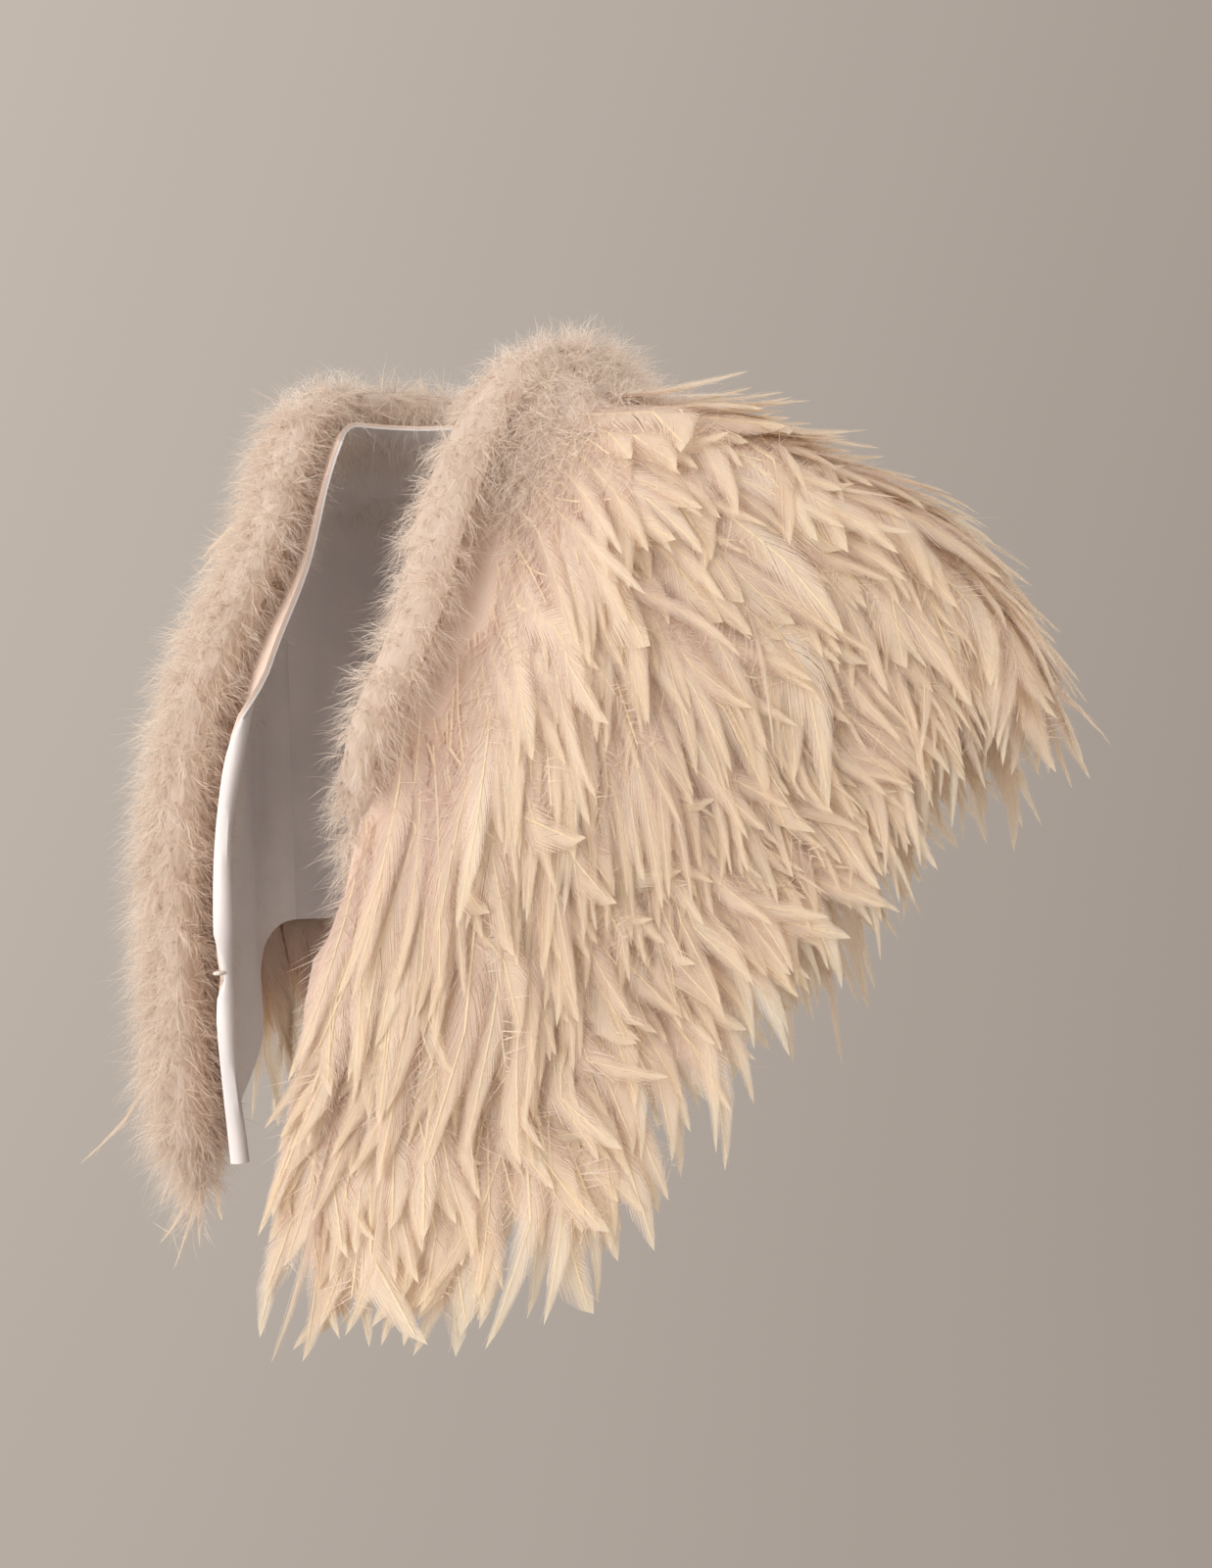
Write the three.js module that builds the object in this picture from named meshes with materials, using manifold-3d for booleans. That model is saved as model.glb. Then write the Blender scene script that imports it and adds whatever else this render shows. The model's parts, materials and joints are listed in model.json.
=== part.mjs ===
// Short feather cape, worn open over the shoulders: three cloth panels with a satin lining,
// seven sewn tiers of hackle feathers, a downy trim along the neck and front edges, and a hook.
// Millimetres, +Z up. The wearer faces -Y, so the wearer's left is +X.
// The origin is the middle of the neck, level with the top of the shoulders, where the wearer holds it.
import * as THREE from "three";
import { mergeVertices } from "three/addons/utils/BufferGeometryUtils.js";
import Module from "manifold-3d";

const wasm = await Module();
wasm.setup();

// The draped cloth, as rings from the neck seam to the hem.
// down: share of the way to the hem. right, left: half widths at the arms. front, back: depths.
// zRight, zLeft, zFront, zBack: heights at the arms, the front edges and the centre back.
// edgeRight, edgeLeft: how far each front edge lies from the middle of the body.
// sweepRight, sweepLeft: how far each arm draws its side backwards. The left one is held akimbo.
const RINGS = [
  { name: "neck", down: 0.0, right: 60, left: 62, front: 40, back: 64, zRight: 4, zLeft: 6, zFront: -8, zBack: 8, edgeRight: 44, edgeLeft: 52, sweepRight: 0, sweepLeft: 0 },
  { name: "yoke", down: 0.18, right: 112, left: 116, front: 52, back: 88, zRight: -16, zLeft: -10, zFront: -66, zBack: -30, edgeRight: 33, edgeLeft: 64, sweepRight: 8, sweepLeft: 6 },
  { name: "shoulder", down: 0.38, right: 158, left: 168, front: 78, back: 108, zRight: -48, zLeft: -26, zFront: -125, zBack: -84, edgeRight: 28, edgeLeft: 66, sweepRight: 22, sweepLeft: 26 },
  { name: "arm", down: 0.6, right: 172, left: 200, front: 93, back: 124, zRight: -116, zLeft: -46, zFront: -197, zBack: -148, edgeRight: 28, edgeLeft: 58, sweepRight: 32, sweepLeft: 58 },
  { name: "elbow", down: 0.8, right: 174, left: 221, front: 95, back: 134, zRight: -186, zLeft: -70, zFront: -276, zBack: -205, edgeRight: 24, edgeLeft: 42, sweepRight: 36, sweepLeft: 88 },
  { name: "hem", down: 1.0, right: 170, left: 238, front: 90, back: 140, zRight: -250, zLeft: -108, zFront: -352, zBack: -262, edgeRight: 17, edgeLeft: 22, sweepRight: 36, sweepLeft: 114 },
];
const COLUMNS = Object.keys(RINGS[0]).filter((key) => key !== "name" && key !== "down");

// Facets of each front panel and of the back, across.
const FRONT_COLUMNS = 12;
const BACK_COLUMNS = 20;

// How much flatter the cloth hangs between front and side than an oval would, as a share.
const HOLLOW = 0.1;

// The hem reaches its lowest before the front edge, by this ratio.
const FRONT_DROP = 1.15;

// Rows of the cloth's facets. The tapes of the tiers lie along rows of their own.
const ROWS = [0, 0.075, 0.15, 0.21, 0.27, 0.33, 0.39, 0.45, 0.51, 0.63, 0.755, 0.88, 1];

// Round the body, 0 is the right front edge and 1 the left one. The shoulder seams lie between.
const RIGHT_SEAM = 0.3;
const LEFT_SEAM = 0.7;

// Soft folds in the hanging cloth. at: place round the body. reach: half width, as a share of the round.
// depth: how far the cloth sinks at the hem, in mm, or swells if negative. from: where it starts, down.
const FOLDS = [
  { name: "right front trough", at: 0.16, reach: 0.045, depth: 9, from: 0.4 },
  { name: "right back trough", at: 0.4, reach: 0.035, depth: 9, from: 0.35 },
  { name: "centre back swell", at: 0.47, reach: 0.04, depth: -8, from: 0.3 },
  { name: "left back trough", at: 0.56, reach: 0.035, depth: 11, from: 0.3 },
  { name: "left arm swell", at: 0.67, reach: 0.04, depth: -6, from: 0.5 },
  { name: "left side trough", at: 0.85, reach: 0.045, depth: 12, from: 0.4 },
];

// Layers, as heights above the lining's inner face.
const LINING = { inner: 0, outer: 1 };
const SHELL = { inner: 1.3, outer: 3.3 };
const TAPE = { inner: 3.6, outer: 5.4, wide: 7 };
const SEAM_GAP = 0.3;

// The right front edge rolls outwards below the chest, so its lining shows.
const LAPEL = { lift: 14, wide: 24, from: 0.36, full: 0.52 };

// Below the hem the feathers keep the cloth's slope for a while and then hang straight.
const HANG = 80;
const CAPE_LENGTH = 300;

// Tiers of feathers, each sewn on a tape. down: where its tape lies. long: feather length.
// fromRight, fromLeft: how far from each front edge the tape starts.
const TIERS = [
  { name: "tier_1", down: 0.15, long: 76, fromRight: 66, fromLeft: 60 },
  { name: "tier_2", down: 0.27, long: 86, fromRight: 76, fromLeft: 60 },
  { name: "tier_3", down: 0.39, long: 94, fromRight: 84, fromLeft: 48 },
  { name: "tier_4", down: 0.51, long: 100, fromRight: 88, fromLeft: 24 },
  { name: "tier_5", down: 0.63, long: 104, fromRight: 90, fromLeft: 8 },
  { name: "tier_6", down: 0.755, long: 98, fromRight: 90, fromLeft: 6 },
  { name: "tier_7", down: 0.88, long: 110, fromRight: 90, fromLeft: 6 },
];
const LOCK = { pitch: 27, wide: 20, thick: 2.6, rootWide: 8, rootThick: 1.1, rise: 0.225, rises: 0.02, sway: 0.05 };

// The downy trim, from the right hem up round the neck and down to the left hem.
// inset: distance from the edge on to the cloth. lift: height of its middle. wide, thick: half sizes.
// On the left it rolls off the edge below the chest and hangs behind it.
const TRIM_RIGHT = [
  { down: 1.07, inset: 44, lift: 19, wide: 18, thick: 9 },
  { down: 0.97, inset: 46, lift: 21.5, wide: 35, thick: 17 },
  { down: 0.8, inset: 45, lift: 21.5, wide: 37, thick: 17.5 },
  { down: 0.62, inset: 44, lift: 22, wide: 37, thick: 18 },
  { down: 0.44, inset: 41, lift: 22, wide: 35, thick: 18 },
  { down: 0.28, inset: 33, lift: 21, wide: 30, thick: 16.5 },
  { down: 0.16, inset: 27, lift: 20, wide: 26, thick: 14.5 },
];
const TRIM_NECK = { down: 0.068, lift: 19, wide: 26, thick: 14, stops: [0.25, 0.32, 0.38, 0.44, 0.5, 0.56, 0.62, 0.68, 0.75] };
const TRIM_LEFT = [
  { down: 0.16, inset: 26, lift: 21, wide: 25, thick: 14 },
  { down: 0.28, inset: 26, lift: 18, wide: 23, thick: 14 },
  { down: 0.37, inset: 18, lift: 19, wide: 20, thick: 15 },
  { down: 0.45, inset: -1, lift: 19.5, wide: 17, thick: 15 },
  { down: 0.51, inset: -18, lift: 12, wide: 15, thick: 14 },
  { down: 0.58, inset: -19, lift: -4, wide: 15, thick: 14 },
  { down: 0.66, inset: -8, lift: -18, wide: 15, thick: 15 },
  { down: 0.78, inset: 8, lift: -18, wide: 16, thick: 16 },
  { down: 0.93, inset: 6, lift: -18, wide: 16, thick: 16 },
  { down: 1.03, inset: -2, lift: -16, wide: 12, thick: 11 },
];
const TRIM_SIDES = 10;
const TRIM_SECTIONS = 64;

// A hook bound with thread, sewn to the lining at the right front edge.
const WIRE = { radius: 0.9, sides: 6, steps: 22, down: 0.77, gap: 0.3 };

const MATERIALS = {
  shell: { color: 0xd9c3b0, roughness: 0.85 },
  lining: { color: 0xe9e4de, roughness: 0.35 },
  hackle: { color: 0xe6d0bc, roughness: 0.7 },
  down: { color: 0xe4cfc0, roughness: 0.95 },
  thread: { color: 0xe6e0d6, roughness: 0.6 },
};

const smooth = (t) => {
  const s = THREE.MathUtils.clamp(t, 0, 1);
  return s * s * (3 - 2 * s);
};

// A repeatable number from 0 to 1 for each pair of whole numbers.
function vary(a, b) {
  const x = Math.sin(a * 12.9898 + b * 78.233) * 43758.5453;
  return x - Math.floor(x);
}

// Every column of the rings at a share of the way down, on one smooth curve.
function ringAt(down) {
  const t = THREE.MathUtils.clamp(down, 0, 1);
  const last = RINGS.length - 2;
  const i = Math.min(last, Math.max(0, RINGS.findIndex((r, n) => n < RINGS.length - 1 && RINGS[n + 1].down >= t)));
  const [before, a, b, after] = [Math.max(0, i - 1), i, i + 1, Math.min(last + 1, i + 2)].map((n) => RINGS[n]);
  const span = b.down - a.down;
  const s = (t - a.down) / span;
  const made = {};
  for (const key of COLUMNS) {
    const slopeA = ((b[key] - before[key]) / (b.down - before.down)) * span;
    const slopeB = ((after[key] - a[key]) / (after.down - a.down)) * span;
    const rise = b[key] - a[key];
    made[key] = a[key] + s * (slopeA + s * (3 * rise - 2 * slopeA - slopeB + s * (slopeA + slopeB - 2 * rise)));
  }
  return made;
}

// The angle from the centre back of a place round the body, with the front edges where the ring says.
function turnAt(round, ring) {
  const half = Math.PI / 2;
  const rightEnd = Math.PI - Math.asin(ring.edgeRight / ring.right);
  const leftEnd = Math.PI - Math.asin(ring.edgeLeft / ring.left);
  if (round < RIGHT_SEAM) return -half - (rightEnd - half) * (1 - round / RIGHT_SEAM);
  if (round > LEFT_SEAM) return half + ((leftEnd - half) * (round - LEFT_SEAM)) / (1 - LEFT_SEAM);
  return THREE.MathUtils.mapLinear(round, RIGHT_SEAM, LEFT_SEAM, -half, half);
}

// A point of the unfolded drape.
function drape(round, down) {
  const ring = ringAt(down);
  const turn = turnAt(round, ring);
  const side = Math.sin(turn);
  const ahead = Math.cos(turn);
  const onLeft = side > 0;
  const flat = ahead < 0 ? 1 - HOLLOW * Math.sin(2 * turn) ** 2 : 1;
  const x = side * flat * (onLeft ? ring.left : ring.right);
  const swept = (onLeft ? ring.sweepLeft : ring.sweepRight) * side * side;
  const y = ahead * flat * (ahead > 0 ? ring.back : ring.front) + swept;
  const armZ = onLeft ? ring.zLeft : ring.zRight;
  const toFront = round < 0.5 ? 1 - round / RIGHT_SEAM : (round - LEFT_SEAM) / (1 - LEFT_SEAM);
  const front = Math.sin((THREE.MathUtils.clamp(toFront * FRONT_DROP, 0, 1) * Math.PI) / 2) ** 2;
  const back = ahead > 0 ? ahead ** 4 : 0;
  const z = armZ + (ring.zFront - armZ) * front + (ring.zBack - armZ) * back;
  const point = new THREE.Vector3(x, y, z);
  if (down <= 1) return point;
  const across = drape(Math.min(1, round + 0.01), 1).sub(drape(Math.max(0, round - 0.01), 1)).normalize();
  const slope = point.clone().sub(drape(round, 0.97));
  slope.addScaledVector(across, -slope.dot(across)).normalize();
  const below = (down - 1) * CAPE_LENGTH;
  const straight = (below * below) / (below + HANG);
  return point.addScaledVector(slope, below - straight).add(new THREE.Vector3(0, 0, -straight));
}

// The drape's own directions at a place: across towards the left, along towards the hem, and outwards.
function directions(round, down) {
  const [lo, hi] = [Math.max(0, round - 0.004), Math.min(1, round + 0.004)];
  const [top, low] = [Math.max(0, down - 0.01), down + 0.01];
  const across = drape(hi, down).sub(drape(lo, down)).divideScalar(hi - lo);
  const along = drape(round, low).sub(drape(round, top)).divideScalar(low - top);
  const out = across.clone().cross(along).normalize();
  return { across, along, out };
}

// Width of a front panel from its shoulder seam to its edge.
function frontWidth(down, side) {
  const [edge, middle, seam] = side === "right" ? [0, 0.15, RIGHT_SEAM] : [1, 0.85, LEFT_SEAM];
  const mid = drape(middle, down);
  return drape(edge, down).distanceTo(mid) + mid.distanceTo(drape(seam, down));
}

// The place round the body that lies a distance in from a front edge.
function roundFrom(side, inset, down) {
  const share = (inset / frontWidth(down, side)) * RIGHT_SEAM;
  return side === "right" ? share : 1 - share;
}

function foldAt(round, down) {
  let depth = 0;
  for (const fold of FOLDS) {
    const far = (round - fold.at) / fold.reach;
    depth += fold.depth * Math.exp(-far * far) * smooth((down - fold.from) / (1 - fold.from));
  }
  return -depth;
}

function lapelAt(round, down) {
  if (round > RIGHT_SEAM) return 0;
  const inset = (round / RIGHT_SEAM) * frontWidth(down, "right");
  const share = Math.max(0, 1 - inset / LAPEL.wide);
  return LAPEL.lift * share * share * smooth((down - LAPEL.from) / (LAPEL.full - LAPEL.from));
}

// A point at a height above the lining's inner face, with the folds and the rolled edge.
function clothPoint(round, down, height) {
  const lift = height + foldAt(round, down) + lapelAt(round, down);
  return drape(round, down).addScaledVector(directions(round, Math.min(1, down)).out, lift);
}

// Where a walk down the cloth from a place ends.
function walkDown(round, down, distance) {
  const steps = 4;
  let at = down;
  for (let i = 0; i < steps; i++) at += distance / steps / directions(round, at).along.length();
  return at;
}

// A closed mesh from points and faces, turned to face out.
class Solid {
  constructor() {
    this.points = [];
    this.faces = [];
  }
  add(point) {
    this.points.push(point);
    return this.points.length - 1;
  }
  quad(a, b, c, d) {
    this.faces.push([a, b, c], [a, c, d]);
  }
  // Whether a quad split from a to c folds inwards, away from what is sewn on it.
  bendsIn(a, b, c, d, inner) {
    const [p, q, r, s, under] = [a, b, c, d, inner].map((n) => this.points[n]);
    const rise = p.clone().add(r).sub(q).sub(s);
    return rise.dot(p.clone().sub(under)) <= 0;
  }
  geometry() {
    const volume = this.faces.reduce((sum, [a, b, c]) => {
      const [p, q, r] = [this.points[a], this.points[b], this.points[c]];
      return sum + p.dot(q.clone().cross(r));
    }, 0);
    const faces = volume < 0 ? this.faces.map(([a, b, c]) => [a, c, b]) : this.faces;
    const geometry = new THREE.BufferGeometry().setFromPoints(this.points);
    geometry.setIndex(faces.flat());
    return geometry;
  }
}

// Columns of the cloth's facets, all round.
const COLUMN_PLACES = [
  ...spacing(0, RIGHT_SEAM, FRONT_COLUMNS),
  ...spacing(RIGHT_SEAM, LEFT_SEAM, BACK_COLUMNS).slice(1),
  ...spacing(LEFT_SEAM, 1, FRONT_COLUMNS).slice(1),
];

function spacing(from, to, count) {
  return Array.from({ length: count + 1 }, (_, i) => THREE.MathUtils.lerp(from, to, i / count));
}

// The step of a rising list that holds a value, and how far along it the value lies.
function stepOf(list, value) {
  const i = Math.min(list.length - 2, Math.max(0, list.findIndex((_, n) => list[n + 1] >= value)));
  return [i, (value - list[i]) / (list[i + 1] - list[i])];
}

// A point on the cloth's flat facets, so that whatever is sewn on lies along them.
function facetPoint(round, down, height) {
  if (down > 1) return clothPoint(round, down, height);
  const [i, s] = stepOf(COLUMN_PLACES, round);
  const [j, t] = stepOf(ROWS, down);
  const corner = (di, dj) => clothPoint(COLUMN_PLACES[i + di], ROWS[j + dj], height);
  return corner(0, 0).lerp(corner(1, 0), s).lerp(corner(0, 1).lerp(corner(1, 1), s), t);
}

// A wall of cloth through places round and rows down.
function wallGeometry({ rounds, downs, layer, surface = facetPoint }) {
  const solid = new Solid();
  const [inner, outer] = [layer.inner, layer.outer].map((height) =>
    rounds.map((round) => downs.map((down) => solid.add(surface(round, down, height)))),
  );
  const [across, downwards] = [rounds.length - 1, downs.length - 1];
  for (let i = 0; i < across; i++) {
    for (let j = 0; j < downwards; j++) {
      const corners = [[i, j], [i, j + 1], [i + 1, j + 1], [i + 1, j]];
      const [a, b, c, d] = corners.map(([m, n]) => outer[m][n]);
      const [e, f, g, h] = corners.map(([m, n]) => inner[m][n]);
      if (solid.bendsIn(a, b, c, d, e)) {
        solid.quad(a, b, c, d);
        solid.quad(g, f, e, h);
      } else {
        solid.quad(b, c, d, a);
        solid.quad(h, g, f, e);
      }
    }
    solid.quad(outer[i][0], outer[i + 1][0], inner[i + 1][0], inner[i][0]);
    solid.quad(outer[i][downwards], inner[i][downwards], inner[i + 1][downwards], outer[i + 1][downwards]);
  }
  for (let j = 0; j < downwards; j++) {
    solid.quad(outer[0][j], inner[0][j], inner[0][j + 1], outer[0][j + 1]);
    solid.quad(outer[across][j], outer[across][j + 1], inner[across][j + 1], inner[across][j]);
  }
  return solid.geometry();
}

// A solid through closed sections of equal length. A last section of one point is a tip.
function loftGeometry(sections) {
  const solid = new Solid();
  const rings = sections.map((section) => section.map((point) => solid.add(point)));
  const cap = (ring, sign) => {
    for (let k = 1; k < ring.length - 1; k++) {
      solid.faces.push(sign > 0 ? [ring[0], ring[k], ring[k + 1]] : [ring[0], ring[k + 1], ring[k]]);
    }
  };
  for (let i = 0; i < rings.length - 1; i++) {
    const [a, b] = [rings[i], rings[i + 1]];
    for (let k = 0; k < a.length; k++) {
      const next = (k + 1) % a.length;
      if (b.length === 1) solid.faces.push([a[k], b[0], a[next]]);
      else solid.quad(a[k], b[k], b[next], a[next]);
    }
  }
  cap(rings[0], 1);
  if (rings.at(-1).length > 1) cap(rings.at(-1), -1);
  return solid.geometry();
}

function toManifold(geometry) {
  const bare = geometry.clone();
  for (const name of ["normal", "uv"]) bare.deleteAttribute(name);
  const merged = mergeVertices(bare, 1e-4);
  return new wasm.Manifold(
    new wasm.Mesh({
      numProp: 3,
      vertProperties: new Float32Array(merged.attributes.position.array),
      triVerts: new Uint32Array(merged.index.array),
    }),
  );
}

function fromManifold(solid) {
  const mesh = solid.getMesh();
  return new THREE.BufferGeometry()
    .setAttribute("position", new THREE.BufferAttribute(mesh.vertProperties, 3))
    .setIndex(new THREE.BufferAttribute(mesh.triVerts, 1));
}

const cape = new THREE.Group();
cape.name = "feather_cape";

function place(name, geometry, finish) {
  const material = new THREE.MeshStandardMaterial({ metalness: 0, side: THREE.DoubleSide, ...MATERIALS[finish] });
  const mesh = new THREE.Mesh(geometry, material);
  mesh.name = name;
  cape.add(mesh);
}

// Cut pieces of the shell, and of the lining inside it. Their seams lie a hair apart.
const PANELS = [
  { name: "right_front", from: 0, to: RIGHT_SEAM },
  { name: "back", from: RIGHT_SEAM, to: LEFT_SEAM },
  { name: "left_front", from: LEFT_SEAM, to: 1 },
];

function placePanels() {
  for (const { name, from, to } of PANELS) {
    const rounds = COLUMN_PLACES.filter((place) => place > from - 1e-9 && place < to + 1e-9);
    const surface = (round, down, height) => {
      const point = clothPoint(round, down, height);
      const atSeam = round === RIGHT_SEAM || round === LEFT_SEAM;
      const inwards = round === from ? 1 : -1;
      const across = directions(round, down).across.normalize();
      return atSeam ? point.addScaledVector(across, (inwards * SEAM_GAP) / 2) : point;
    };
    place(`shell_${name}`, wallGeometry({ rounds, downs: ROWS, layer: SHELL, surface }), "shell");
    place(`lining_${name}`, wallGeometry({ rounds, downs: ROWS, layer: LINING, surface }), "lining");
  }
}

// Places round the body between two others, evenly spaced along the cloth.
function spread(from, to, down, pitch) {
  const fine = 240;
  const lengths = [0];
  for (let i = 1; i <= fine; i++) {
    const [a, b] = [i - 1, i].map((n) => drape(THREE.MathUtils.lerp(from, to, n / fine), down));
    lengths.push(lengths[i - 1] + a.distanceTo(b));
  }
  const count = Math.round(lengths[fine] / pitch);
  return Array.from({ length: count }, (_, k) => {
    const want = ((k + 0.5) / count) * lengths[fine];
    const i = lengths.findIndex((length) => length >= want);
    const share = (want - lengths[i - 1]) / (lengths[i] - lengths[i - 1]);
    return THREE.MathUtils.lerp(from, to, (i - 1 + share) / fine);
  });
}

// One lock of feathers: a flat four-sided blade that leaves the tape and lifts towards its tip.
function lockGeometry(round, tier, index, tierIndex) {
  const long = tier.long * (0.88 + 0.24 * vary(index, tierIndex));
  const rise = LOCK.rise + LOCK.rises * (index % 2) + 0.01 * vary(index, tierIndex + 20);
  const sway = LOCK.sway * (2 * vary(index, tierIndex + 40) - 1);
  const wide = LOCK.wide * (0.9 + 0.14 * vary(index, tierIndex + 60));
  const rootHeight = (TAPE.inner + TAPE.outer) / 2;
  const start = tier.down + TAPE.wide / 2 / CAPE_LENGTH;
  const section = ({ share, width, thick }) => {
    const distance = share * long;
    const down = walkDown(round, start, distance);
    const { across, out } = directions(round, Math.min(down, 1));
    const side = across.clone().normalize();
    const middle = facetPoint(round, down, rootHeight + rise * distance).addScaledVector(side, sway * distance);
    if (width === 0) return [middle];
    return [
      middle.clone().addScaledVector(side, -width / 2),
      middle.clone().addScaledVector(out, thick / 2),
      middle.clone().addScaledVector(side, width / 2),
      middle.clone().addScaledVector(out, -thick / 2),
    ];
  };
  return loftGeometry(
    [
      { share: 0, width: LOCK.rootWide, thick: LOCK.rootThick },
      { share: 0.38, width: wide, thick: LOCK.thick },
      { share: 0.72, width: wide * 0.72, thick: LOCK.thick * 0.8 },
      { share: 1, width: 0 },
    ].map(section),
  );
}

function placeTiers() {
  TIERS.forEach((tier, tierIndex) => {
    const from = roundFrom("right", tier.fromRight, tier.down);
    const to = roundFrom("left", tier.fromLeft, tier.down);
    const places = spread(from, to, tier.down, LOCK.pitch);
    const between = COLUMN_PLACES.filter((place) => place > from + 0.005 && place < to - 0.005);
    const downs = [tier.down, tier.down + TAPE.wide / CAPE_LENGTH];
    const tape = wallGeometry({ rounds: [from, ...between, to], downs, layer: TAPE });
    const joined = places.reduce(
      (solid, round, index) => solid.add(toManifold(lockGeometry(round, tier, index, tierIndex))),
      toManifold(tape),
    );
    place(`feather_${tier.name}`, fromManifold(joined), "hackle");
  });
}

// One stop of the trim: its middle, the cloth's outward direction there, and its half sizes.
function trimStop(round, down, row, side = null) {
  const edge = side ? roundFrom(side, Math.max(0, row.inset), Math.min(down, 1)) : round;
  const { across, out } = directions(edge, Math.min(down, 1));
  const middle = drape(edge, down).addScaledVector(out, row.lift + foldAt(edge, down));
  if (side && row.inset < 0) middle.addScaledVector(across.normalize(), (side === "left" ? 1 : -1) * -row.inset);
  return { middle, out, wide: row.wide, thick: row.thick };
}

function trimStops() {
  return [
    ...TRIM_RIGHT.map((row) => trimStop(0, row.down, row, "right")),
    ...TRIM_NECK.stops.map((round) => trimStop(round, TRIM_NECK.down, TRIM_NECK)),
    ...TRIM_LEFT.map((row) => trimStop(1, row.down, row, "left")),
  ];
}

// Sections of the trim between two of its stops, on one smooth curve through all of them.
function trimSections(stops, from, to) {
  const curve = new THREE.CatmullRomCurve3(stops.map((stop) => stop.middle), false, "centripetal");
  const last = stops.length - 1;
  const shares = spacing(0, 1, 600);
  const shareOf = (stop) => shares.find((share) => curve.getUtoTmapping(share) * last >= stop - 1e-9) ?? 1;
  const gap = SEAM_GAP / 2 / curve.getLength();
  const [first, final] = [shareOf(from) + (from > 0 ? gap : 0), shareOf(to) - (to < last ? gap : 0)];
  const count = Math.max(8, Math.round((final - first) * TRIM_SECTIONS));
  return spacing(first, final, count).map((share) => {
    const t = curve.getUtoTmapping(share);
    const [k, s] = stepOf(stops.map((_, n) => n), t * last);
    const [a, b] = [stops[k], stops[k + 1]];
    const tangent = curve.getTangent(t);
    const out = a.out.clone().lerp(b.out, smooth(s));
    out.addScaledVector(tangent, -out.dot(tangent)).normalize();
    const side = tangent.clone().cross(out);
    const end = Math.min(share, 1 - share) * 24;
    const taper = end < 1 ? Math.max(0.35, Math.sqrt(1 - (1 - end) ** 2)) : 1;
    const wide = taper * THREE.MathUtils.lerp(a.wide, b.wide, smooth(s));
    const thick = taper * THREE.MathUtils.lerp(a.thick, b.thick, smooth(s));
    return Array.from({ length: TRIM_SIDES }, (_, n) => {
      const angle = (n / TRIM_SIDES) * 2 * Math.PI;
      const point = curve.getPoint(t).addScaledVector(side, wide * Math.cos(angle));
      return point.addScaledVector(out, thick * Math.sin(angle));
    });
  });
}

// The trim is cut at the shoulder seams.
function placeTrim() {
  const stops = trimStops();
  const [right, left] = [RIGHT_SEAM, LEFT_SEAM].map((seam) => {
    const [i, s] = stepOf(TRIM_NECK.stops, seam);
    return TRIM_RIGHT.length + i + s;
  });
  place("marabou_right_front", loftGeometry(trimSections(stops, 0, right)), "down");
  place("marabou_collar", loftGeometry(trimSections(stops, right, left)), "down");
  place("marabou_left_front", loftGeometry(trimSections(stops, left, stops.length - 1)), "down");
}

// The hook: a bent wire through points given as distance in from the edge, distance down and height.
function placeHook() {
  const start = facetPoint(0, WIRE.down, 0);
  const inwards = facetPoint(0.02, WIRE.down, 0).sub(start).normalize();
  const low = directions(0, WIRE.down).along.normalize();
  const up = low.clone().cross(inwards).normalize();
  const lie = WIRE.radius + WIRE.gap;
  const bends = [
    [11, -4, lie],
    [13, -1.6, lie],
    [10, 0, lie],
    [3, 0, lie],
    [-2.4, 0, lie + 0.4],
    [-3.6, 0, lie + 2.2],
    [-1.8, 0, lie + 4],
    [2.5, 0, lie + 4.2],
  ];
  const path = bends.map(([inset, down, height]) =>
    start.clone().addScaledVector(inwards, inset).addScaledVector(low, down).addScaledVector(up, height),
  );
  const ring = Array.from({ length: WIRE.sides }, (_, k) => {
    const angle = (k / WIRE.sides) * 2 * Math.PI;
    return new THREE.Vector2(WIRE.radius * Math.cos(angle), WIRE.radius * Math.sin(angle));
  });
  const extrudePath = new THREE.CatmullRomCurve3(path);
  const settings = { steps: WIRE.steps, extrudePath, bevelEnabled: false };
  place("closure_hook", new THREE.ExtrudeGeometry(new THREE.Shape(ring), settings), "thread");
}

placePanels();
placeTiers();
placeTrim();
placeHook();

export default cape;
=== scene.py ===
# %% [markdown]
# # A short feather cape
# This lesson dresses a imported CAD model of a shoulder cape: cloth panels with a satin lining, tiers of
# long hackle feathers, and a trim of fluffy marabou down along the neck and the front edges.
# The CAD model already says where everything lies. Each step here replaces one of its plain solids
# with a piece that has the real thing's detail, in the same place.

import json
import math

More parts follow.
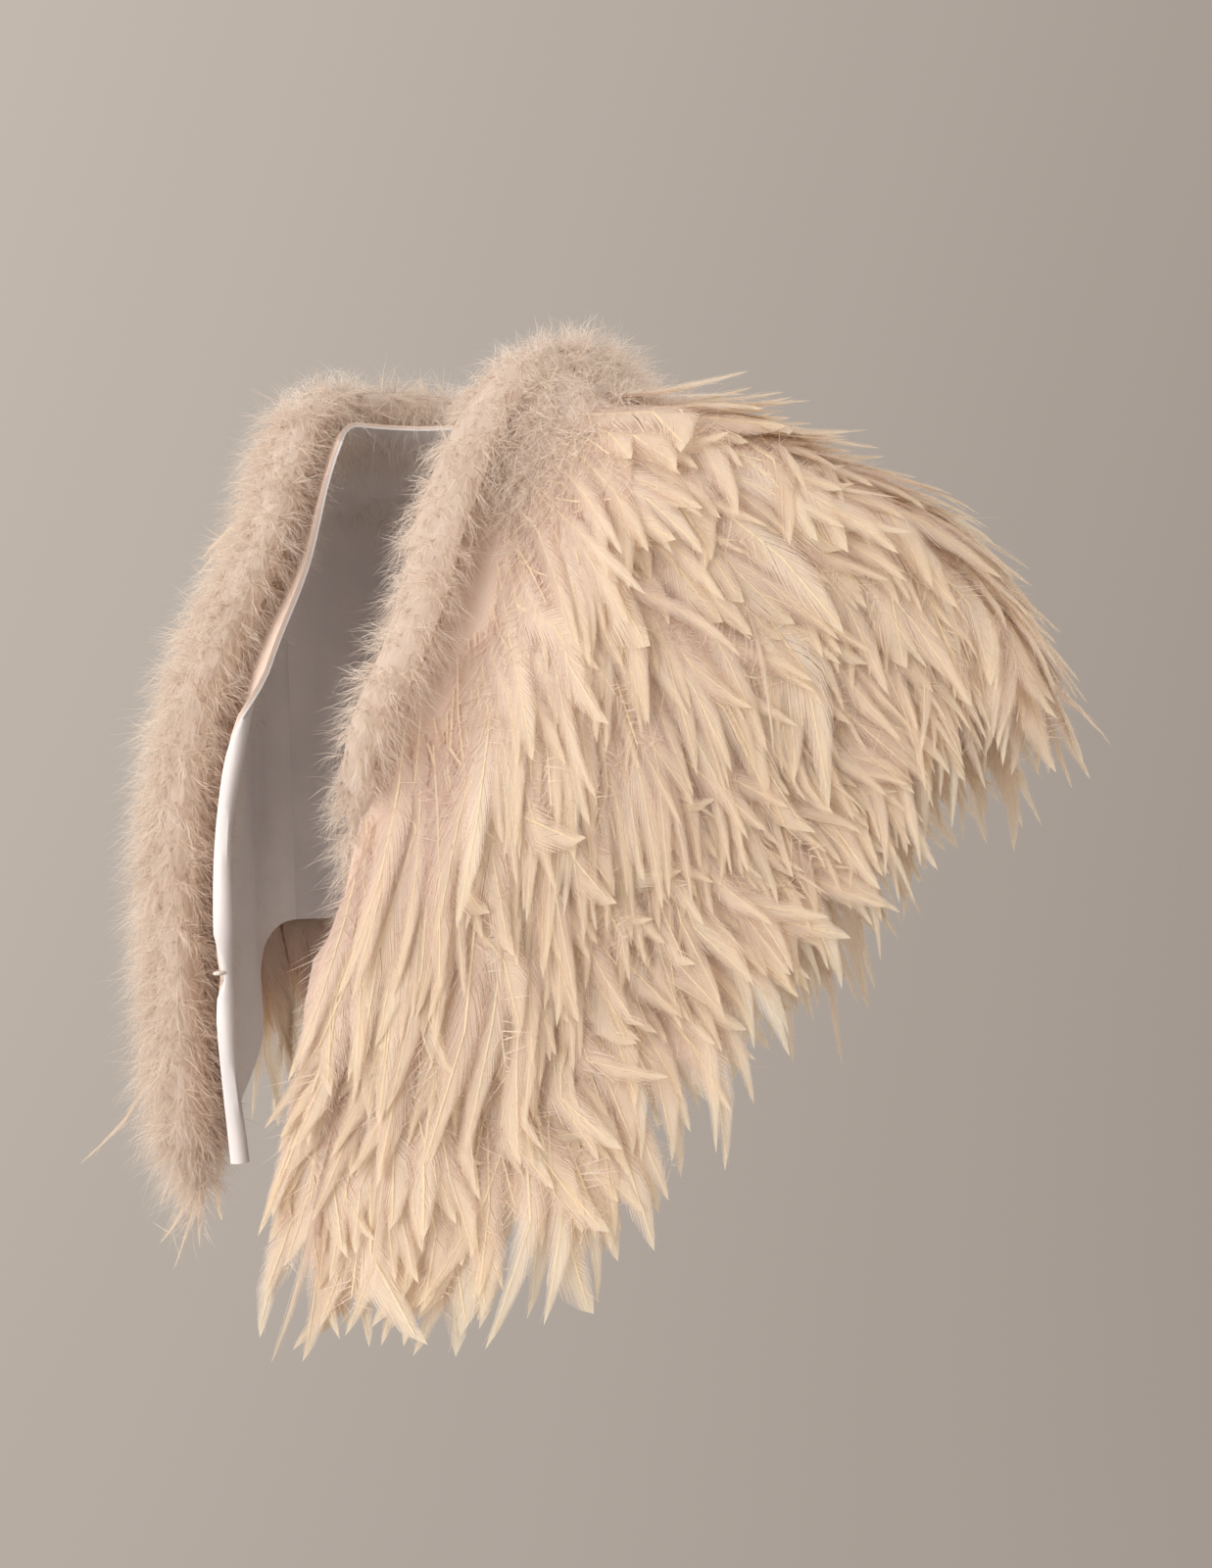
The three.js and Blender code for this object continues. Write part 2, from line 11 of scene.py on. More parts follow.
import bpy
import numpy as np
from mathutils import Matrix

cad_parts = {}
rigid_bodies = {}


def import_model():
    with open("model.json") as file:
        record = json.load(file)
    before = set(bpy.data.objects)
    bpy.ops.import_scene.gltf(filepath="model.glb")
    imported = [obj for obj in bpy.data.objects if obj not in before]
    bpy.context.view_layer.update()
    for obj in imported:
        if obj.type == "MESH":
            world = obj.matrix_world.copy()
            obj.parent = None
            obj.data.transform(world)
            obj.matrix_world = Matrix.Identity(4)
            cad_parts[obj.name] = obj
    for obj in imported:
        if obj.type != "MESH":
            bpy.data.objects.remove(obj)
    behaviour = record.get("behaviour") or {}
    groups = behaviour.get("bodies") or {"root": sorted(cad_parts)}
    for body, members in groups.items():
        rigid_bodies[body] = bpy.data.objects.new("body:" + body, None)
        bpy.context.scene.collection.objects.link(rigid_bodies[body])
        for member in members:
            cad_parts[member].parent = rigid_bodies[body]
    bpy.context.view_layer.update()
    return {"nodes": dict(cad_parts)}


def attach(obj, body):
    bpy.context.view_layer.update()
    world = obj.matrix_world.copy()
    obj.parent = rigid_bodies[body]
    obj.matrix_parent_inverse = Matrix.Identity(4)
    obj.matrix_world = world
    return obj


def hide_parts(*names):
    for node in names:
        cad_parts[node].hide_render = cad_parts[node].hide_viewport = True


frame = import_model()
BODY = "root"
print("nodes:", sorted(frame["nodes"]))

# %% [markdown]
# The camera comes first, so that every later step can be judged from the same place. The picture was
# taken level with the chest, from the wearer's left front. A camera is easiest to place by the direction
# it looks along, its distance, and how far it stands to the side of the body's axis.

# %% Camera
CAMERA_TURN = math.radians(49)
CAMERA_FAR = 1.2
CAMERA_SIDE = 0.085
CAMERA_HEIGHT = -0.176
FOCAL_PIXELS, FRAME_TALL, SENSOR = 2520, 1600, 24

camera = bpy.data.objects.new("camera", bpy.data.cameras.new("camera"))
bpy.context.scene.collection.objects.link(camera)
right = np.array([math.cos(CAMERA_TURN), math.sin(CAMERA_TURN), 0])
ahead = np.array([-math.sin(CAMERA_TURN), math.cos(CAMERA_TURN), 0])
camera.location = right * CAMERA_SIDE - ahead * CAMERA_FAR + np.array([0, 0, CAMERA_HEIGHT])
camera.rotation_euler = (math.pi / 2, 0, CAMERA_TURN)
camera.data.sensor_fit = "VERTICAL"
camera.data.sensor_height = SENSOR
camera.data.lens = FOCAL_PIXELS * SENSOR / FRAME_TALL
bpy.context.scene.camera = camera
print("lens", round(camera.data.lens, 1), "mm")

# %% [markdown]
# ## The drape as a formula
# Everything on the cape is sewn to one draped cloth, so the drape is written once, as rings from the neck
# to the hem, and every piece asks it for points. A place on the cloth is given by how far round the body it
# is, from 0 at the right front edge to 1 at the left one, and how far down, from 0 at the neck to 1 at
# the hem. The numbers are the same as in the CAD model, in millimetres.

# %% Rings of the drape
MM = 0.001
COLUMNS = ("down", "right", "left", "front", "back", "z_right", "z_left", "z_front", "z_back")
COLUMNS += ("edge_right", "edge_left", "sweep_right", "sweep_left")
RINGS = np.array(
    [
        (0.00, 60, 62, 40, 64, 4, 6, -8, 8, 44, 52, 0, 0),
        (0.18, 112, 116, 52, 88, -16, -10, -66, -30, 33, 64, 8, 6),
        (0.38, 158, 168, 78, 108, -48, -26, -125, -84, 28, 66, 22, 26),
        (0.60, 172, 200, 93, 124, -116, -46, -197, -148, 28, 58, 32, 58),
        (0.80, 174, 221, 95, 134, -186, -70, -276, -205, 24, 42, 36, 88),
        (1.00, 170, 238, 90, 140, -250, -108, -352, -262, 17, 22, 36, 114),
    ]
)
RIGHT_SEAM, LEFT_SEAM = 0.3, 0.7
HOLLOW, FRONT_DROP, HANG, CAPE_LENGTH = 0.1, 1.15, 0.08, 0.3


def smooth(t):
    s = np.clip(t, 0, 1)
    return s * s * (3 - 2 * s)


def span(v):
    """The length of each row of vectors."""
    return np.linalg.norm(v, axis=-1)


def unit(v):
    return v / span(v)[..., None]


def places(rnd, down):
    """The two parts of a place, or of many, as arrays of one shape."""
    return np.broadcast_arrays(np.asarray(rnd, float), np.asarray(down, float))


def ring_at(down):
    """Every column of the rings at a share of the way down, on one smooth curve."""
    t = np.clip(down, 0, 1)
    knots = RINGS[:, 0]
    i = np.clip(np.searchsorted(knots, t) - 1, 0, len(knots) - 2)
    j, before, after = i + 1, np.maximum(i - 1, 0), np.minimum(i + 2, len(knots) - 1)
    step = (knots[j] - knots[i])[..., None]
    s = (t - knots[i])[..., None] / step
    a, b = RINGS[i], RINGS[j]
    slope_a = (b - RINGS[before]) / (knots[j] - knots[before])[..., None] * step
    slope_b = (RINGS[after] - a) / (knots[after] - knots[i])[..., None] * step
    rise = b - a
    values = a + s * (slope_a + s * (3 * rise - 2 * slope_a - slope_b + s * (slope_a + slope_b - 2 * rise)))
    return dict(zip(COLUMNS, np.moveaxis(values * MM, -1, 0)))


def on_rings(rnd, down):
    """A point of the drape above the hem."""
    rnd, down = places(rnd, down)
    ring = ring_at(down)
    half = math.pi / 2
    right_end = math.pi - np.arcsin(ring["edge_right"] / ring["right"])
    left_end = math.pi - np.arcsin(ring["edge_left"] / ring["left"])
    on_right = -half - (right_end - half) * (1 - rnd / RIGHT_SEAM)
    on_left = half + (left_end - half) * (rnd - LEFT_SEAM) / (1 - LEFT_SEAM)
    on_back = (rnd - RIGHT_SEAM) / (LEFT_SEAM - RIGHT_SEAM) * math.pi - half
    turn = np.where(rnd < RIGHT_SEAM, on_right, np.where(rnd > LEFT_SEAM, on_left, on_back))
    side, ahead_of = np.sin(turn), np.cos(turn)
    left = side > 0
    flat = np.where(ahead_of < 0, 1 - HOLLOW * np.sin(2 * turn) ** 2, 1)
    x = side * flat * np.where(left, ring["left"], ring["right"])
    swept = np.where(left, ring["sweep_left"], ring["sweep_right"]) * side * side
    y = ahead_of * flat * np.where(ahead_of > 0, ring["back"], ring["front"]) + swept
    arm = np.where(left, ring["z_left"], ring["z_right"])
    to_front = np.where(rnd < 0.5, 1 - rnd / RIGHT_SEAM, (rnd - LEFT_SEAM) / (1 - LEFT_SEAM))
    front = np.sin(np.clip(to_front * FRONT_DROP, 0, 1) * half) ** 2
    back = np.where(ahead_of > 0, ahead_of**4, 0)
    z = arm + (ring["z_front"] - arm) * front + (ring["z_back"] - arm) * back
    return np.stack([x, y, z], -1)


def drape(rnd, down):
    """A point of the drape. Below the hem it keeps the cloth's slope for a while and then hangs."""
    rnd, down = places(rnd, down)
    point = on_rings(rnd, np.minimum(down, 1))
    across = unit(on_rings(rnd + 0.01, 1.0) - on_rings(rnd - 0.01, 1.0))
    slope = on_rings(rnd, 1.0) - on_rings(rnd, 0.97)
    slope = unit(slope - across * (slope * across).sum(-1, keepdims=True))
    below = (np.maximum(down - 1, 0) * CAPE_LENGTH)[..., None]
    straight = below**2 / (below + HANG)
    return point + slope * (below - straight) + straight * np.array([0, 0, -1])


def across_along(rnd, down):
    """The drape's steps across and down at a place, in metres for a whole round and a whole length."""
    rnd, down = places(rnd, down)
    across = (drape(rnd + 0.004, down) - drape(rnd - 0.004, down)) / 0.008
    top = np.maximum(down - 0.01, 0)
    along = (drape(rnd, down + 0.01) - drape(rnd, top)) / (down + 0.01 - top)[..., None]
    return across, along


def outward(rnd, down):
    across, along = across_along(rnd, np.minimum(down, 1))
    return unit(np.cross(across, along))


print("centre back hem", drape(0.5, 1.0).round(3), "left arm hem", drape(0.7, 1.0).round(3))

# %% [markdown]
# Hanging cloth has soft troughs and swells that grow towards the hem. A few bell curves across the
# round are enough. The right front edge also rolls outwards below the chest, and shows its lining.

# %% Folds and the rolled edge
FOLDS = (  # place round, reach round, depth in mm, start down
    (0.16, 0.045, 9, 0.4),
    (0.40, 0.035, 9, 0.35),
    (0.47, 0.040, -8, 0.3),
    (0.56, 0.035, 11, 0.3),
    (0.67, 0.040, -6, 0.5),
    (0.85, 0.045, 12, 0.4),
)
LAPEL_WIDE, LAPEL_FROM, LAPEL_FULL = 24, 0.36, 0.52
LAPEL_TURN = (  # distance from the edge along the cloth, where it comes to lie, its lift, in mm
    (0, 2.0, 12.5),
    (3.5, -1.5, 10.3),
    (7, -3.5, 7.2),
    (11, -2.6, 3.4),
    (16, 1.6, 1.0),
    (24, 9.5, 0.0),
)
HOOK_DOWN = 0.77


def front_width(down, side):
    """Width of a front panel from its shoulder seam to its edge."""
    edge, middle, seam = (0, 0.15, RIGHT_SEAM) if side == "right" else (1, 0.85, LEFT_SEAM)
    stops = [drape(place, down) for place in (edge, middle, seam)]
    return sum(span(b - a) for a, b in zip(stops, stops[1:]))


def round_from(side, inset, down):
    """The place round the body that lies a distance in from a front edge."""
    share = inset / front_width(down, side) * RIGHT_SEAM
    return share if side == "right" else 1 - share


def fold_at(rnd, down):
    depth = 0
    for place, reach, sink, start in FOLDS:
        grown = smooth((down - start) / (1 - start))
        depth = depth + sink * MM * np.exp(-(((rnd - place) / reach) ** 2)) * grown
    return -depth


def lapel_at(rnd, down):
    """How far the rolled right edge moves inwards and outwards from the flat cloth."""
    inset = rnd / RIGHT_SEAM * front_width(down, "right") / MM
    pinch = 1 - 0.45 * np.exp(-(((down - HOOK_DOWN) / 0.022) ** 2))
    share = smooth((down - LAPEL_FROM) / (LAPEL_FULL - LAPEL_FROM)) * MM * pinch
    insets, lies, lifts = zip(*LAPEL_TURN)
    shift = np.interp(inset, insets, lies) - inset
    beyond = (lies[-1] - LAPEL_WIDE) * np.exp((LAPEL_WIDE - inset) / 25)
    return np.where(inset < LAPEL_WIDE, shift, beyond) * share, np.interp(inset, insets, lifts) * share


def surface(rnd, down, lapel=True):
    """The lining's inner face, with the folds and the rolled edge."""
    out, across = outward(rnd, down), unit(across_along(rnd, down)[0])
    point = drape(rnd, down) + out * fold_at(rnd, down)[..., None]
    if not lapel:
        return point
    shift, lift = lapel_at(rnd, down)
    return point + across * shift[..., None] + out * lift[..., None]


def cloth(rnd, down, height, lapel=True):
    """A point at a height above the lining's inner face."""
    rnd, down = places(rnd, down)
    steps = [surface(rnd + x, down, lapel) for x in (-0.003, 0.003)]
    steps += [surface(rnd, np.clip(down + y, 0, None), lapel) for y in (-0.01, 0.01)]
    face = unit(np.cross(steps[1] - steps[0], steps[3] - steps[2]))
    return surface(rnd, down, lapel) + face * np.asarray(height)[..., None]


# %% [markdown]
# ## Finishes
# A feather is thin enough to glow when light is behind it, so its shader is part Principled and part
# Translucent. Its colour changes from bird to tip: each feather carries a number called tone, each point
# carries how far along the feather it is, and the shader mixes colours by both. Numbers stored on the
# mesh stay with it when it is exported, which a pattern fixed in space would not.

# %% Helpers for materials
def linear(red, green, blue):
    """A colour from the 0 to 255 of a paint card to the linear values that Blender mixes."""
    shares = np.array([red, green, blue]) / 255
    return (*np.where(shares <= 0.04045, shares / 12.92, ((shares + 0.055) / 1.055) ** 2.4), 1)


def add(tree, kind, inputs=(), **settings):
    """A node with its settings, and its inputs linked or set by name or identifier."""
    made = tree.nodes.new(kind)
    for key, value in settings.items():
        setattr(made, key, value)
    for key, value in dict(inputs).items():
        socket = next(s for s in made.inputs if s.enabled and key in (s.name, s.identifier))
        if isinstance(value, bpy.types.NodeSocket):
            tree.links.new(value, socket)
        else:
            socket.default_value = value
    return made


def new_material(name):
    material = bpy.data.materials.new(name)
    material.use_nodes = True
    material.node_tree.nodes.clear()
    return material, material.node_tree


def ramp(tree, factor, stops):
    made = add(tree, "ShaderNodeValToRGB", {"Fac": factor})
    elements = made.color_ramp.elements
    elements[0].position, elements[0].color = stops[0]
    elements[1].position, elements[1].color = stops[-1]
    for place, colour in stops[1:-1]:
        elements.new(place).color = colour
    return made.outputs["Color"]


def blend(tree, factor, a, b, kind="MIX"):
    made = add(tree, "ShaderNodeMix", {"Factor_Float": factor}, data_type="RGBA", blend_type=kind)
    for key, value in (("A_Color", a), ("B_Color", b)):
        socket = next(s for s in made.inputs if s.identifier == key)
        if isinstance(value, bpy.types.NodeSocket):
            tree.links.new(value, socket)
        else:
            socket.default_value = value
    return next(s for s in made.outputs if s.identifier == "Result_Color")


def number(tree, name):
    return add(tree, "ShaderNodeAttribute", attribute_name=name).outputs["Fac"]


def maths(tree, operation, *values):
    keys = ("Value", "Value_001", "Value_002")
    return add(tree, "ShaderNodeMath", dict(zip(keys, values)), operation=operation).outputs[0]


def vectors(tree, operation, first, second):
    key = "Scale" if operation == "SCALE" else "Vector_001"
    made = add(tree, "ShaderNodeVectorMath", {"Vector": first, key: second}, operation=operation)
    return next(s for s in made.outputs if s.enabled)


def remap(tree, value, low, high, start=0.0, stop=1.0):
    """Numbers from low to high become numbers from start to stop."""
    ends = {"Value": value, "From Min": low, "From Max": high, "To Min": start, "To Max": stop}
    return add(tree, "ShaderNodeMapRange", ends).outputs["Result"]


def shade_ramp(tree, factor, low, dark, high):
    """A grey factor that starts dark and is white from high on."""
    return ramp(tree, factor, ((low, (*dark, 1)), (high, (1, 1, 1, 1))))


def finish(tree, shader):
    add(tree, "ShaderNodeOutputMaterial", {"Surface": shader.outputs[0]})


def finish_thin(tree, colour, through, surface, solid=None):
    """A thin surface: part Principled, part light coming through from behind, and gaps where not solid."""
    face = add(tree, "ShaderNodeBsdfPrincipled", {"Base Color": colour, **surface}).outputs[0]
    back = add(tree, "ShaderNodeBsdfTranslucent", {"Color": colour}).outputs[0]
    mixed = add(tree, "ShaderNodeMixShader", {"Fac": through, "Shader": face, "Shader_001": back})
    if solid:
        gap = add(tree, "ShaderNodeBsdfTransparent").outputs[0]
        parts = {"Fac": solid, "Shader": gap, "Shader_001": mixed.outputs[0]}
        mixed = add(tree, "ShaderNodeMixShader", parts)
    finish(tree, mixed)


# %% Hackle and down
HACKLE_TONES = (
    (0.0, linear(228, 206, 194)),
    (0.3, linear(240, 222, 210)),
    (0.7, linear(247, 233, 221)),
    (1.0, linear(253, 244, 234)),
)
DOWN_TONES = ((0.0, linear(226, 211, 198)), (0.5, linear(234, 222, 210)), (1.0, linear(242, 233, 222)))
BASE_BLUSH = linear(229, 205, 192)
QUILL_IVORY = linear(248, 236, 208)
TIP_CREAM, TIP_SHARE = linear(249, 236, 210), 0.55


BARBS_LONG, BARBS_ASIDE, BARBS_TONE = 85.0, -15.0, 90.0  # how fast the barbs pass, per feather and by kind


def hackle_material():
    material, tree = new_material("hackle_feather")
    tone, along = number(tree, "tone"), number(tree, "along")
    body = ramp(tree, tone, HACKLE_TONES)
    rooted = ramp(tree, along, ((0.0, (1, 1, 1, 1)), (0.55, (0, 0, 0, 1))))
    body = blend(tree, rooted, body, BASE_BLUSH)
    ended = ramp(tree, along, ((0.6, (0, 0, 0, 1)), (1.0, (*[TIP_SHARE] * 3, 1))))
    body = blend(tree, ended, body, TIP_CREAM)
    aside = maths(tree, "ABSOLUTE", number(tree, "side"))
    barb = maths(tree, "MULTIPLY", along, BARBS_LONG)
    barb = maths(tree, "MULTIPLY_ADD", aside, BARBS_ASIDE, barb)
    barb = maths(tree, "MULTIPLY_ADD", tone, BARBS_TONE, barb)
    noise = {"W": barb, "Scale": 1.0, "Detail": 2.0}
    streak = add(tree, "ShaderNodeTexNoise", noise, noise_dimensions="1D").outputs["Fac"]
    # The colour is darker where the streak is low, as the bump sinks between barbs: painted shade in the
    # grooves.
    body = blend(tree, 1.0, body, shade_ramp(tree, streak, 0.3, (0.9, 0.88, 0.86), 0.65), "MULTIPLY")
    fleck = shade_ramp(tree, number(tree, "fleck"), 0.0, (0.93, 0.91, 0.9), 1.0)
    body = blend(tree, 1.0, body, fleck, "MULTIPLY")
    # Quill ivory: the quill's own colour, and on the vane's ridge partly a painted highlight along the quill.
    colour = blend(tree, number(tree, "quill"), body, QUILL_IVORY)
    bump = add(tree, "ShaderNodeBump", {"Height": streak, "Strength": 0.5, "Distance": 0.0006}).outputs[0]
    barbs = maths(tree, "SUBTRACT", streak, remap(tree, aside, 0.1, 1.0, 0.28, 0.64))
    for low, high, start, stop in ((0.65, 1.0, 0.0, 0.08), (0.25, 0.5, 0.5, 0.0)):
        barbs = maths(tree, "ADD", barbs, remap(tree, along, low, high, start, stop))
    solid = remap(tree, barbs, -0.12, 0.1)
    finish_thin(tree, colour, 0.58, {"Roughness": 0.42, "Normal": bump}, solid)
    return material


def down_material():
    material, tree = new_material("marabou_down")
    body = ramp(tree, number(tree, "tone"), DOWN_TONES)
    # The down is darker towards the roots of its hairs: painted shade, for the depth inside each puff.
    painted_root_shade = shade_ramp(tree, number(tree, "along"), 0.0, (0.93, 0.9, 0.88), 0.6)
    colour = blend(tree, 1.0, body, painted_root_shade, "MULTIPLY")
    finish_thin(tree, colour, 0.5, {"Roughness": 0.9, "Sheen Weight": 0.2, "Sheen Roughness": 0.5})
    return material


HACKLE, DOWN = hackle_material(), down_material()

# %% [markdown]
# The lining is a satin: smooth, with a soft band of light across each bend and faint lines where the
# weave floats. The ground cloth under the feathers is a plain weave, matt, in the feathers' own colour.


# %% Satin and ground cloth
def woven(name, colours, pitch, depth, roughness, sheen):
    material, tree = new_material(name)
    place = add(tree, "ShaderNodeTexCoord").outputs["UV"]
    bands = {"Vector": place, "Scale": 1 / pitch, "Distortion": 0.4, "Detail": 1.0}
    threads = [
        add(tree, "ShaderNodeTexWave", bands, wave_type="BANDS", bands_direction=direction).outputs["Fac"]
        for direction in ("X", "Y")
    ]
    weave = maths(tree, "MAXIMUM", *threads)
    shade = add(tree, "ShaderNodeTexNoise", {"Vector": place, "Scale": 14.0, "Detail": 4.0}).outputs["Fac"]
    colour = ramp(tree, shade, ((0.3, colours[0]), (0.7, colours[1])))
    bump = add(tree, "ShaderNodeBump", {"Height": weave, "Strength": 0.35, "Distance": depth}).outputs[0]
    look = {"Base Color": colour, "Roughness": roughness, "Normal": bump, "Sheen Weight": sheen}
    finish(tree, add(tree, "ShaderNodeBsdfPrincipled", look))
    return material


SATIN = woven("satin_lining", (linear(198, 192, 193), linear(220, 214, 211)), 0.0011, 0.00012, 0.34, 0.1)
GROUND = woven("ground_cloth", (linear(205, 180, 164), linear(220, 198, 182)), 0.0009, 0.0002, 0.85, 0.3)

# %% [markdown]
# ## Cloth panels
# The shell and the lining are each cut in three: a back and two fronts, joined at the shoulders. On real
# cloth the surface is never even, so soft creases are listed one by one, each with its own place, slant and
# depth. The panel is a thin closed wall: two faces a thread apart, joined round the rim.

# %% Creases
CREASES = (  # round, down, slant, half width and half length in metres, depth in mm
    (0.03, 0.66, 0.30, 0.010, 0.045, 2.6),
    (0.05, 0.80, -0.20, 0.009, 0.050, -2.2),
    (0.02, 0.90, 0.10, 0.008, 0.035, 2.0),
    (0.20, 0.45, 0.50, 0.014, 0.060, -2.4),
    (0.26, 0.75, -0.10, 0.016, 0.070, 2.8),
    (0.36, 0.55, 0.20, 0.015, 0.080, -2.6),
    (0.44, 0.80, -0.15, 0.014, 0.060, 2.4),
    (0.52, 0.50, 0.10, 0.016, 0.080, -2.8),
    (0.62, 0.72, 0.30, 0.015, 0.060, 2.6),
    (0.74, 0.60, -0.40, 0.014, 0.060, -2.4),
    (0.82, 0.80, 0.20, 0.013, 0.070, 2.6),
    (0.93, 0.55, -0.20, 0.010, 0.050, 2.4),
    (0.96, 0.78, 0.15, 0.009, 0.050, -2.2),
)


def crease_at(rnd, down):
    across, along = across_along(rnd, np.minimum(down, 1))
    wide, long = span(across), span(along)
    total = np.zeros(np.shape(rnd))
    for place, height, slant, half_wide, half_long, depth in CREASES:
        y = (down - height) * long
        x = (rnd - place) * wide - slant * y
        total += depth * MM * np.exp(-((x / half_wide) ** 2) - (y / half_long) ** 2)
    return total


# %% Helpers for meshes
def new_object(name, points, faces, numbers=()):
    """An object with numbers or directions stored on its points, in no collection yet."""
    mesh = bpy.data.meshes.new(name)
    mesh.from_pydata([tuple(p) for p in points], [], faces)
    for key, values in dict(numbers).items():
        values = np.asarray(values)
        kind = "INT" if values.dtype.kind == "i" else "FLOAT_VECTOR" if values.ndim > 1 else "FLOAT"
        field = "vector" if kind == "FLOAT_VECTOR" else "value"
        mesh.attributes.new(key, kind, "POINT").data.foreach_set(field, values.ravel())
    return bpy.data.objects.new(name, mesh)


def shown(made, material=None):
    """Puts an object in the scene, smoothly shaded if it is given a material."""
    if material:
        made.data.materials.append(material)
        made.data.polygons.foreach_set("use_smooth", np.ones(len(made.data.polygons), bool))
    bpy.context.scene.collection.objects.link(made)
    return made


def quads_of(grid):
    """The faces of a grid of point numbers, turning from its second way to its first."""
    return np.stack([grid[:-1, :-1], grid[:-1, 1:], grid[1:, 1:], grid[1:, :-1]], -1).reshape(-1, 4)


def dress(piece, solid):
    """The piece rides on the body in place of a solid, which is hidden."""
    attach(piece, BODY)
    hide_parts(solid)


# %% A panel as a thin closed wall
SEAM_GAP = 0.00006  # of a round, so that two panels meet without sharing a face
SHARP = math.radians(50)


def panel(name, start, stop, columns, rows, inner, outer, material):
    """A wall between two places round, from neck to hem, with UVs in metres for its weave."""
    rounds = np.linspace(start + SEAM_GAP * (start > 0), stop - SEAM_GAP * (stop < 1), columns + 1)
    u, v = np.meshgrid(rounds, np.linspace(0, 1, rows + 1), indexing="ij")
    lift = crease_at(u, v)
    layers = [cloth(u, v, height + lift).reshape(-1, 3) for height in (inner, outer)]
    grid = np.arange((columns + 1) * (rows + 1)).reshape(columns + 1, rows + 1)
    inside = quads_of(grid)
    faces = [*inside.tolist(), *(inside[:, [0, 3, 2, 1]] + grid.size).tolist()]
    rim = np.concatenate([grid[:, 0], grid[-1, 1:], grid[-2::-1, -1], grid[0, -2::-1]])
    faces += [(int(p), int(q), int(q + grid.size), int(p + grid.size)) for p, q in zip(rim, rim[1:])]
    made = shown(new_object(name, np.concatenate(layers), faces), material)
    made.data.set_sharp_from_angle(angle=SHARP)
    width, length = (span(np.diff(cloth(u, v, inner), axis=way)).sum(way) for way in (0, 1))
    uv_of = np.stack([u * width.max() / (stop - start), v * length.mean()], -1).reshape(-1, 2)
    corners = np.array([loop.vertex_index for loop in made.data.loops]) % grid.size
    made.data.uv_layers.new(name="cloth").uv.foreach_set("vector", uv_of[corners].ravel())
    area = (width[1:] + width[:-1]).mean() / 2 * length.mean()
    return made, (float(width.max()), float(length.max())), float(area)


# %% Cut and place the panels
PANELS = (  # name, from, to, facets across
    ("right_front", 0, RIGHT_SEAM, 60),
    ("back", RIGHT_SEAM, LEFT_SEAM, 100),
    ("left_front", LEFT_SEAM, 1, 60),
)
LAYERS = (  # name, inner height, outer height, material, slot
    ("lining", 0.0000, 0.0012, SATIN, "satin_lining"),
    ("shell", 0.0013, 0.0027, GROUND, "ground_cloth"),
)
ROWS_DOWN = 40
for layer, inner, outer, material, slot in LAYERS:
    for place, start, stop, columns in PANELS:
        name = f"{layer}_{place}_cloth"
        piece, flat, area = panel(name, start, stop, columns, ROWS_DOWN, inner, outer, material)
        dress(piece, f"{layer}_{place}")
        print(piece.name, "cut", [round(s, 3) for s in flat], "m, area", round(area, 4), "m2")

# %% [markdown]
# ## One feather, drawn flat
# A hackle is a stiff, tapering quill with a narrow, pointed, silky vane. Its barbs lie almost along the
# quill, and near the root they turn into loose down. It could be a card with a picture of a feather, but
# a card has no depth and no soft edge. Here the vane is a slim strip that bends at the quill, thin
# slivers break up its edge, and the down is a fan of loose barbs. The material parts the vane into barbs
# that thin out towards its edge. A whole feather takes only a few dozen faces. Every third kind is a fluffy
# one, with no vane and more down.


# %% Hackle feathers
HACKLE_LONG = 0.11
VANE = (  # along the quill, share of the half width
    (0.08, 0.30),
    (0.24, 0.78),
    (0.42, 1.00),
    (0.60, 0.88),
    (0.76, 0.56),
    (0.90, 0.24),
)
SLIVERS, LOOSE_BARBS, FLUFF_BARBS, QUILL_STEPS = 10, 12, 28, 3


class Patch:
    """Points and faces with numbers on the points, gathered bit by bit."""

    def __init__(self, *names):
        self.points, self.faces, self.numbers = [], [], {name: [] for name in names}

    def point(self, place, **numbers):
        self.points.append(tuple(place))
        for name, values in self.numbers.items():
            values.append(float(numbers.get(name, 0)))
        return len(self.points) - 1

    def stow(self, name, collection):
        """The patch as a mesh kept off the scene."""
        made = new_object(name, self.points, self.faces, self.numbers)
        made.data.polygons.foreach_set("use_smooth", np.ones(len(self.faces), bool))
        collection.objects.link(made)


AHEAD, UP = np.array([0.0, 1.0, 0.0]), np.array([0.0, 0.0, 1.0])


